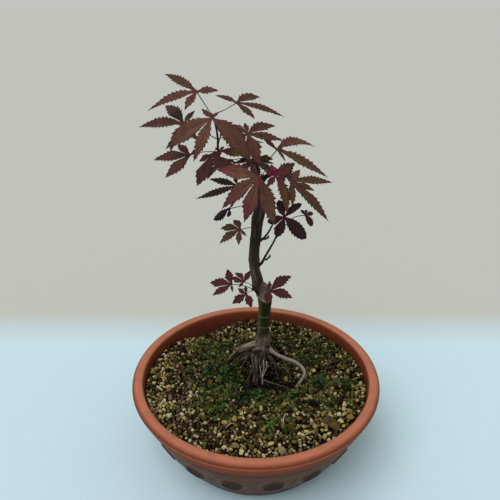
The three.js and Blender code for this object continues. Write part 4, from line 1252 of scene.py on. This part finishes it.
def make_blade(name, lobes, wilt):
    """The upper side of a leaf in its own plane, hub at the origin: points, faces, colour and veins."""
    draw = np.random.default_rng(sum(map(ord, name)))
    lobes = sorted((*lobe, 1)[:4] for lobe in lobes)
    heart = HEARTS.get(name, 0.15)
    blunt = name in BLUNT
    notch = notches(lobes)
    n = len(ACROSS)
    points, faces, paint, vein = [], [], [], []
    for i, lobe in enumerate(lobes):
        direction, length, bend, breadth = lobe
        rows = margin_rows(length, blunt, draw)
        widest = LOBE_WIDTH * breadth * length
        twist = draw.uniform(-0.16, 0.16)
        wave = draw.uniform(0, 50)
        inner, outer = LOBE_PAINTS.get((name, direction), LEAF_PAINTS.get(name, (RED, RED)))
        shade = draw.uniform(0.84, 1.14)
        for side in (1, -1):
            other = lobes[(i + side) % len(lobes)]
            start = len(points)
            for f in BASE_ROWS:
                points += base_row(f, notch[i] if side == 1 else notch[i - 1], lobe)
                paint += [blend(inner, HEART, heart) * 0.92] * n
                vein += [max(0.0, 1 - v * 5) for v in ACROSS]
            mid = BASE_ROWS[-1] * BASE_REACH
            for row in rows:
                s, _, is_vein, _ = row
                half = margin_width(lobe, other, side, row, widest, blunt)
                mid = max(mid + 0.004, s - 0.62 * half / length) if s < 1 else 1.0
                for v, tone in zip(ACROSS, ACROSS_TONES):
                    share = mid + (s - mid) * v**1.1
                    off = half * v
                    turn = math.radians(direction + bend * share)
                    along = share * length
                    x = along * math.cos(turn) - side * off * math.sin(turn)
                    y = along * math.sin(turn) + side * off * math.cos(turn)
                    grown = smoothstep(share, 0.1, 0.3)
                    z = KEEL * off - DROOP * length * share**2 * grown
                    z += grown * side * off * math.tan(twist * share)
                    z += grown * (0.1 - 0.17 * is_vein) * math.sin(math.pi * min(v, 0.85)) * half / 5
                    z -= 0.12 * grown * (v == 0)
                    z += grown * 0.5 * v * v * noise(np.array([wave + along / 6, side * 3.0, 0.5]), 61)
                    z -= wilt * 0.9 * off * v * grown
                    points.append((x, y, z))
                    mixed = blend(inner, outer, smoothstep(share, 0.25, 0.95))
                    mixed = blend(mixed, HEART, heart * smoothstep(along, 13, 2))
                    # The tone across the lobe: a painted highlight across the middle, darker at the margin.
                    paint.append(mixed * shade * tone * (1 - 0.35 * smoothstep(share, 0.84, 0.97)))
                    line = 1.0 if v == 0 else 0.35 * (v < 0.1)
                    vein.append(max(line * (1 - 0.5 * share), 0.55 * is_vein * (1 - v) ** 0.7))
            for r in range(len(BASE_ROWS) + len(rows) - 1):
                for a in range(start + r * n, start + r * n + n - 1):
                    quad = [a, a + 1, a + 1 + n, a + n]
                    faces.append(quad[::-1] if side == 1 else quad)
    return np.array(points), faces, np.array(paint), np.array(vein)


def welded(points, faces, paint, vein):
    """Joins points that lie together, and turns every face upwards."""
    cells = np.round(points / WELD).astype(np.int64)
    _, first, index = np.unique(cells, axis=0, return_index=True, return_inverse=True)
    index = index.ravel()
    points = points[first]
    kept = []
    for face in faces:
        ring = list(dict.fromkeys(int(index[corner]) for corner in face))
        p = points[ring]
        area = np.sum(p[:, 0] * np.roll(p[:, 1], -1) - np.roll(p[:, 0], -1) * p[:, 1])
        if len(ring) > 2 and abs(area) > 1e-7:
            kept.append(ring if area > 0 else ring[::-1])
    return points, kept, paint[first], vein[first]


def thickened(points, faces, paint, vein):
    """A blade as a closed body: its underside is paler."""
    n = len(points)
    body = faces + [[i + n for i in face[::-1]] for face in faces]
    edges = dict.fromkeys(edge for face in faces for edge in zip(face, face[1:] + face[:1]))
    body += [[a, a + n, b + n, b] for a, b in edges if (b, a) not in edges]
    under = points - (0, 0, BLADE_THICKNESS)
    pale = blend(paint, srgb(104, 76, 68), 0.4)
    return np.vstack([points, under]), body, np.vstack([paint, pale]), np.append(vein, vein * 0.6)


def make_leaf(name, hub, facing, joins, way, lobes):
    """A leaf and its stalk."""
    wilt = {"leaf_curled": 1.0, "leaf_purple": 0.35}.get(name, 0.0)
    points, faces, paint, vein = thickened(*welded(*make_blade(name, lobes, wilt)))
    if name == "leaf_curled":
        points[:, 2] -= 0.08 * np.hypot(points[:, 0], points[:, 1])
    hub, joins = np.array(hub, float), np.array(joins, float)
    turn, lift = facing
    spin = np.array(Euler((math.radians(90 - lift), 0, math.radians(turn))).to_matrix())
    arch = STALK_ARCH * np.linalg.norm(hub - joins)
    between = [np.array(p, float) for p in way] or [(hub + joins) / 2 + (0, 0, arch)]
    inward = joins + (joins - between[-1]) / np.linalg.norm(joins - between[-1]) * 0.4
    start = hub - spin @ np.array([0, 0, 1.0]) * 0.15
    route = [(*start, 0.42), *((*p, 0.34) for p in between), (*inward, 0.45)]
    stalk, stalk_faces = tube(route, 8, 10)
    shape = Shape()
    shape.add(points @ spin.T + hub, faces, paint)
    shape.add(stalk, stalk_faces, srgb(64, 42, 36))
    return shape.mesh(name + "_blade", vein=np.append(vein, np.zeros(len(stalk))))


# ---------------------------------------------------------------- weeds and straws

# Clumps of weeds: x, y and how many.
CLUMPS = [
    (1.3, -17, 20), (-10, -18, 14), (-30, 17.8, 18), (-50, 18.5, 16), (38, -20, 18), (91.7, -8.2, 14),
    (-28, 6, 22), (-38, -42, 12), (-33, 62, 14), (62, 36, 8),
]
TRIED_WEEDS = 14000
GRASS = 14
LEAFLET_THICKNESS = 0.18
# Dry straws, each from one place to another.
STRAWS = [
    [(-13.2, -2.9), (-16.1, -13.3)], [(24.8, -64.8), (27.9, -45.5)], [(73, 26), (91, 30)],
    [(-60, -20), (-57, -33)], [(52, -74), (40, -82)], [(-28, -70), (-20, -64)],
]
BROWN_STRAW = 2


def leaflet(length, width, cup, steps=7):
    """A small closed leaf that grows along +X from the origin, with a fold along its middle."""
    s = np.linspace(0, 1, steps)
    half = width * np.sin(np.pi * s**0.8) ** 0.8
    half[0] = half[-1] = 0
    top = []
    for side in (1, 0, -1):
        z = cup * abs(side) * half + 0.12 * length * np.sin(np.pi * s) - 0.1 * length * s * s
        top.append(np.column_stack([s * length, side * half, z]))
    points = np.vstack(top + [t - (0, 0, LEAFLET_THICKNESS) for t in top])
    under = 3 * steps
    faces = []
    for row in (0, steps):
        for a in range(row, row + steps - 1):
            b = a + under
            faces.append([a + steps, a + steps + 1, a + 1, a])
            faces.append([b, b + 1, b + steps + 1, b + steps])
    for i in range(steps - 1):
        a = 2 * steps + i
        faces.append([i, i + 1, i + 1 + under, i + under])
        faces.append([a + 1, a, a + under, a + 1 + under])
    return points, faces


def spun(points, pitch, yaw, place):
    """A leaflet's points, lifted, turned and moved to where it grows."""
    turn = np.array(Euler((0, -pitch, yaw)).to_matrix())
    return points @ turn.T + np.array(place)


def sprig(shape, base, leaves, length, height, colour, broad, draw):
    """A small weed: a stem and its leaves, which are broad times as wide as long."""
    base = np.array(base)
    rise = np.append(draw.uniform(-0.25, 0.25, 2) * height, height)
    stem = [(*(base - (0, 0, 2)), 0.3), (*(base + rise * (0.4, 0.4, 0.5)), 0.26), (*(base + rise), 0.2)]
    shape.add(*tube(stem, 5, 2), colour * 0.8)
    for i in range(leaves):
        yaw = 2.4 * i + draw.uniform(-0.3, 0.3)
        size = length * draw.uniform(0.7, 1.15)
        points, faces = leaflet(size, size * broad, 0.15)
        place = base + rise * draw.uniform(0.45, 1)
        points = spun(points, draw.uniform(-0.1, 0.6), yaw, place)
        shape.add(points, faces, colour * draw.uniform(0.75, 1.25))


def make_weeds():
    """The small weeds, in three beds from left to right: a mesh for each."""
    draw = np.random.default_rng(77)
    beds = {"weeds_left": Shape(), "weeds_middle": Shape(), "weeds_right": Shape()}

    def bed(x):
        return beds["weeds_left" if x < -32 else "weeds_middle" if x < 6 else "weeds_right"]

    dark, mid, bright, yellow = srgb(18, 27, 9), srgb(35, 49, 16), srgb(66, 91, 31), srgb(76, 76, 28)
    spots = draw.uniform(-112, 112, (TRIED_WEEDS, 2))
    x, y = spots.T
    keep = (np.hypot(x, y) < 107) & (draw.random(len(x)) < moss_share(x, y) ** 1.4 * 0.4)
    keep &= (np.hypot(x - 4, y - 20) > 12) & (soil_and_shade_share(x, y) < 0.45)
    for px, py in spots[keep]:
        near_tree = math.exp(-(((px + 24) / 30) ** 2) - ((py - 8) / 26) ** 2)
        colours = (dark, mid, bright) if draw.random() < 0.35 + 0.6 * near_tree else (mid, yellow, OLIVE)
        colour = colours[draw.integers(0, 3)]
        leaves, length = int(draw.integers(3, 7)), draw.uniform(1.6, 3.4)
        height, broad = draw.uniform(0.8, 4.5), draw.uniform(0.3, 0.5)
        sprig(bed(px), (px, py, ground(px, py) - 0.6), leaves, length, height, colour, broad, draw)
    for px, py, count in CLUMPS:
        for _ in range(count):
            x, y = (px, py) + draw.normal(0, 4, 2)
            colour = (mid, bright, dark)[draw.integers(0, 3)]
            leaves, length = int(draw.integers(4, 7)), draw.uniform(2, 3.6)
            height = draw.uniform(2, 6)
            sprig(bed(px), (x, y, ground(x, y)), leaves, length, height, colour, 0.46, draw)
    for _ in range(GRASS):
        x, y = -36 + draw.normal(0, 2), -50 + draw.normal(0, 2)
        z = ground(x, y)
        dx, dy = draw.normal(0, 3.5, 2)
        height = draw.uniform(6, 9)
        blade = [
            (x, y, z - 2, 0.4), (x + dx * 0.4, y + dy * 0.4, z + 4, 0.34), (x + dx, y + dy, z + height, 0.08),
        ]
        beds["weeds_left"].add(*tube(blade, 4, 3), mid * draw.uniform(0.7, 1.1))
    return [shape.mesh(name) for name, shape in beds.items()]


def make_straws():
    draw = np.random.default_rng(78)
    shape = Shape()
    for i, ((ax, ay), (bx, by)) in enumerate(STRAWS):
        mx, my = (ax + bx) / 2 + draw.normal(0, 1), (ay + by) / 2 + draw.normal(0, 1)
        run = [
            (ax, ay, ground(ax, ay) + 1.5, 0.32), (mx, my, ground(mx, my) + 3.2, 0.4),
            (bx, by, ground(bx, by) + 2, 0.2),
        ]
        shape.add(*tube(run, 6, 6), srgb(112, 84, 70) if i == BROWN_STRAW else srgb(196, 178, 132))
    return shape.mesh("straws")


def make_seedling(name, x, y, leaves, length, colour):
    """A seedling: a stem under two whorls of leaves."""
    draw = np.random.default_rng(int(abs(x) + abs(y)))
    colour = srgb(*colour)
    shape = Shape()
    z = ground(x, y)
    top = z + 6
    shape.add(*tube([(x, y, z - 5, 0.6), (x, y, z + 1, 0.5), (x, y, top, 0.45)], 8, 4), colour * 0.8)
    whorls = [(leaves, length, 0.1, 0, 0), (leaves - 2, length * 0.62, 0.6, 0.6, 0.4)]
    for count, reach, pitch, height, offset in whorls:
        for i in range(count):
            yaw = 2 * math.pi * (i + offset) / count
            size = reach * draw.uniform(0.85, 1.05)
            points, faces = leaflet(size, size * 0.24, 0.3, 9)
            points = spun(points, pitch, yaw, (x, y, top + height))
            shape.add(points, faces, colour * draw.uniform(0.8, 1.25))
    return shape.mesh(name + "_leaves")


# ---------------------------------------------------------------- the piece list

plastic = bowl_material()
dress(make_bowl(), plastic, "bowl", "bowl")
dress(make_rosettes(), plastic, "bowl")

gravel = gravel_material()
dress(make_bed(), gravel, "gravel", "soil")
radii = np.sort(np.random.default_rng(5).lognormal(math.log(1.45), 0.27, TOP_GRAINS))[::-1]
top = scattered(np.clip(radii, 0.95, 3.1), 6, TOP_CROWDING)
under = scattered(np.full(UNDER_GRAINS, UNDER_RADIUS), 16, UNDER_CROWDING)[len(STONES):]
is_large = top[:, 2] > LARGE_GRAIN
fine, coarse = stone_forms(14, 2, 9), stone_forms(16, 1, 10)
dress(make_grains("gravel_large", top[is_large], 0.0, *fine, 12, 1.0), gravel, "gravel")
dress(make_grains("gravel_small", top[~is_large], 0.0, *coarse, 13, 1.0), gravel, "gravel")
dress(make_grains("gravel_under", under, -UNDER_DEPTH, *coarse, 14, UNDER_SHADE), gravel, "gravel")

dress(make_wood(), bark_material(), "bark", "tree")

blade = leaf_material()
for leaf_name, form in LEAVES.items():
    leaf_slot = next((s for s, names in LEAF_SLOTS.items() if leaf_name in names), "leaf_red")
    dress(make_leaf(leaf_name, *form), blade, leaf_slot, leaf_name)

green = green_material()
for seedling_name, values in SEEDLINGS.items():
    dress(make_seedling(seedling_name, *values), green, "seedling", seedling_name)
for weeds in make_weeds():
    dress(weeds, green, "seedling")
dress(make_straws(), gravel, "gravel")

# ---------------------------------------------------------------- floor, light and camera

WALL = srgb(195, 197, 191)
FLOOR_BLUE = srgb(203, 228, 240)
FLOOR_SIZE = 60000
BLUE_END, GREY_START = 165, 250
SUN_DIRECTION = (0.35, 0.42, -1)
CAMERA_PLACE = (-0.0059, -0.43157, 0.42808)
CAMERA_TILT = 64.66


def make_floor():
    """A plain floor, pale blue near the bowl and the tone of the backdrop beyond it."""
    m = Nodes("floor")
    here = m.add("ShaderNodeSeparateXYZ", {"Vector": m.place()}).outputs["Y"]
    back = m.math("MULTIPLY", m.math("SUBTRACT", here, BLUE_END), 1 / (GREY_START - BLUE_END))
    m.finish(m.ramp(back, (0.0, FLOOR_BLUE), (1.0, WALL)), 0.7, Specular_IOR_Level=0.0)
    size = FLOOR_SIZE
    corners = [(-size, -size, 0), (size, -size, 0), (size, size, 0), (-size, size, 0)]
    obj = mesh_object("floor", corners, [[0, 1, 2, 3]], {}, smooth=False)
    obj.data.materials.append(m.material)


make_floor()
sun_light = bpy.data.lights.new("sun", "SUN")
sun_light.energy = 1.5
sun_light.angle = math.radians(45)
sun = bpy.data.objects.new("sun", sun_light)
sun.rotation_euler = Vector(SUN_DIRECTION).to_track_quat("-Z", "Y").to_euler()
bpy.context.scene.collection.objects.link(sun)

world = bpy.data.worlds.new("studio")
world.use_nodes = True
backdrop = world.node_tree.nodes["Background"]
backdrop.inputs["Color"].default_value = (*WALL, 1)
backdrop.inputs["Strength"].default_value = 1.0
bpy.context.scene.world = world
bpy.context.scene.view_settings.view_transform = "Standard"

camera = bpy.data.cameras.new("camera")
camera.lens = 37.44
camera.sensor_width = 36
view = bpy.data.objects.new("camera", camera)
view.location = CAMERA_PLACE
view.rotation_euler = (math.radians(CAMERA_TILT), 0, 0)
bpy.context.scene.collection.objects.link(view)
bpy.context.scene.camera = view
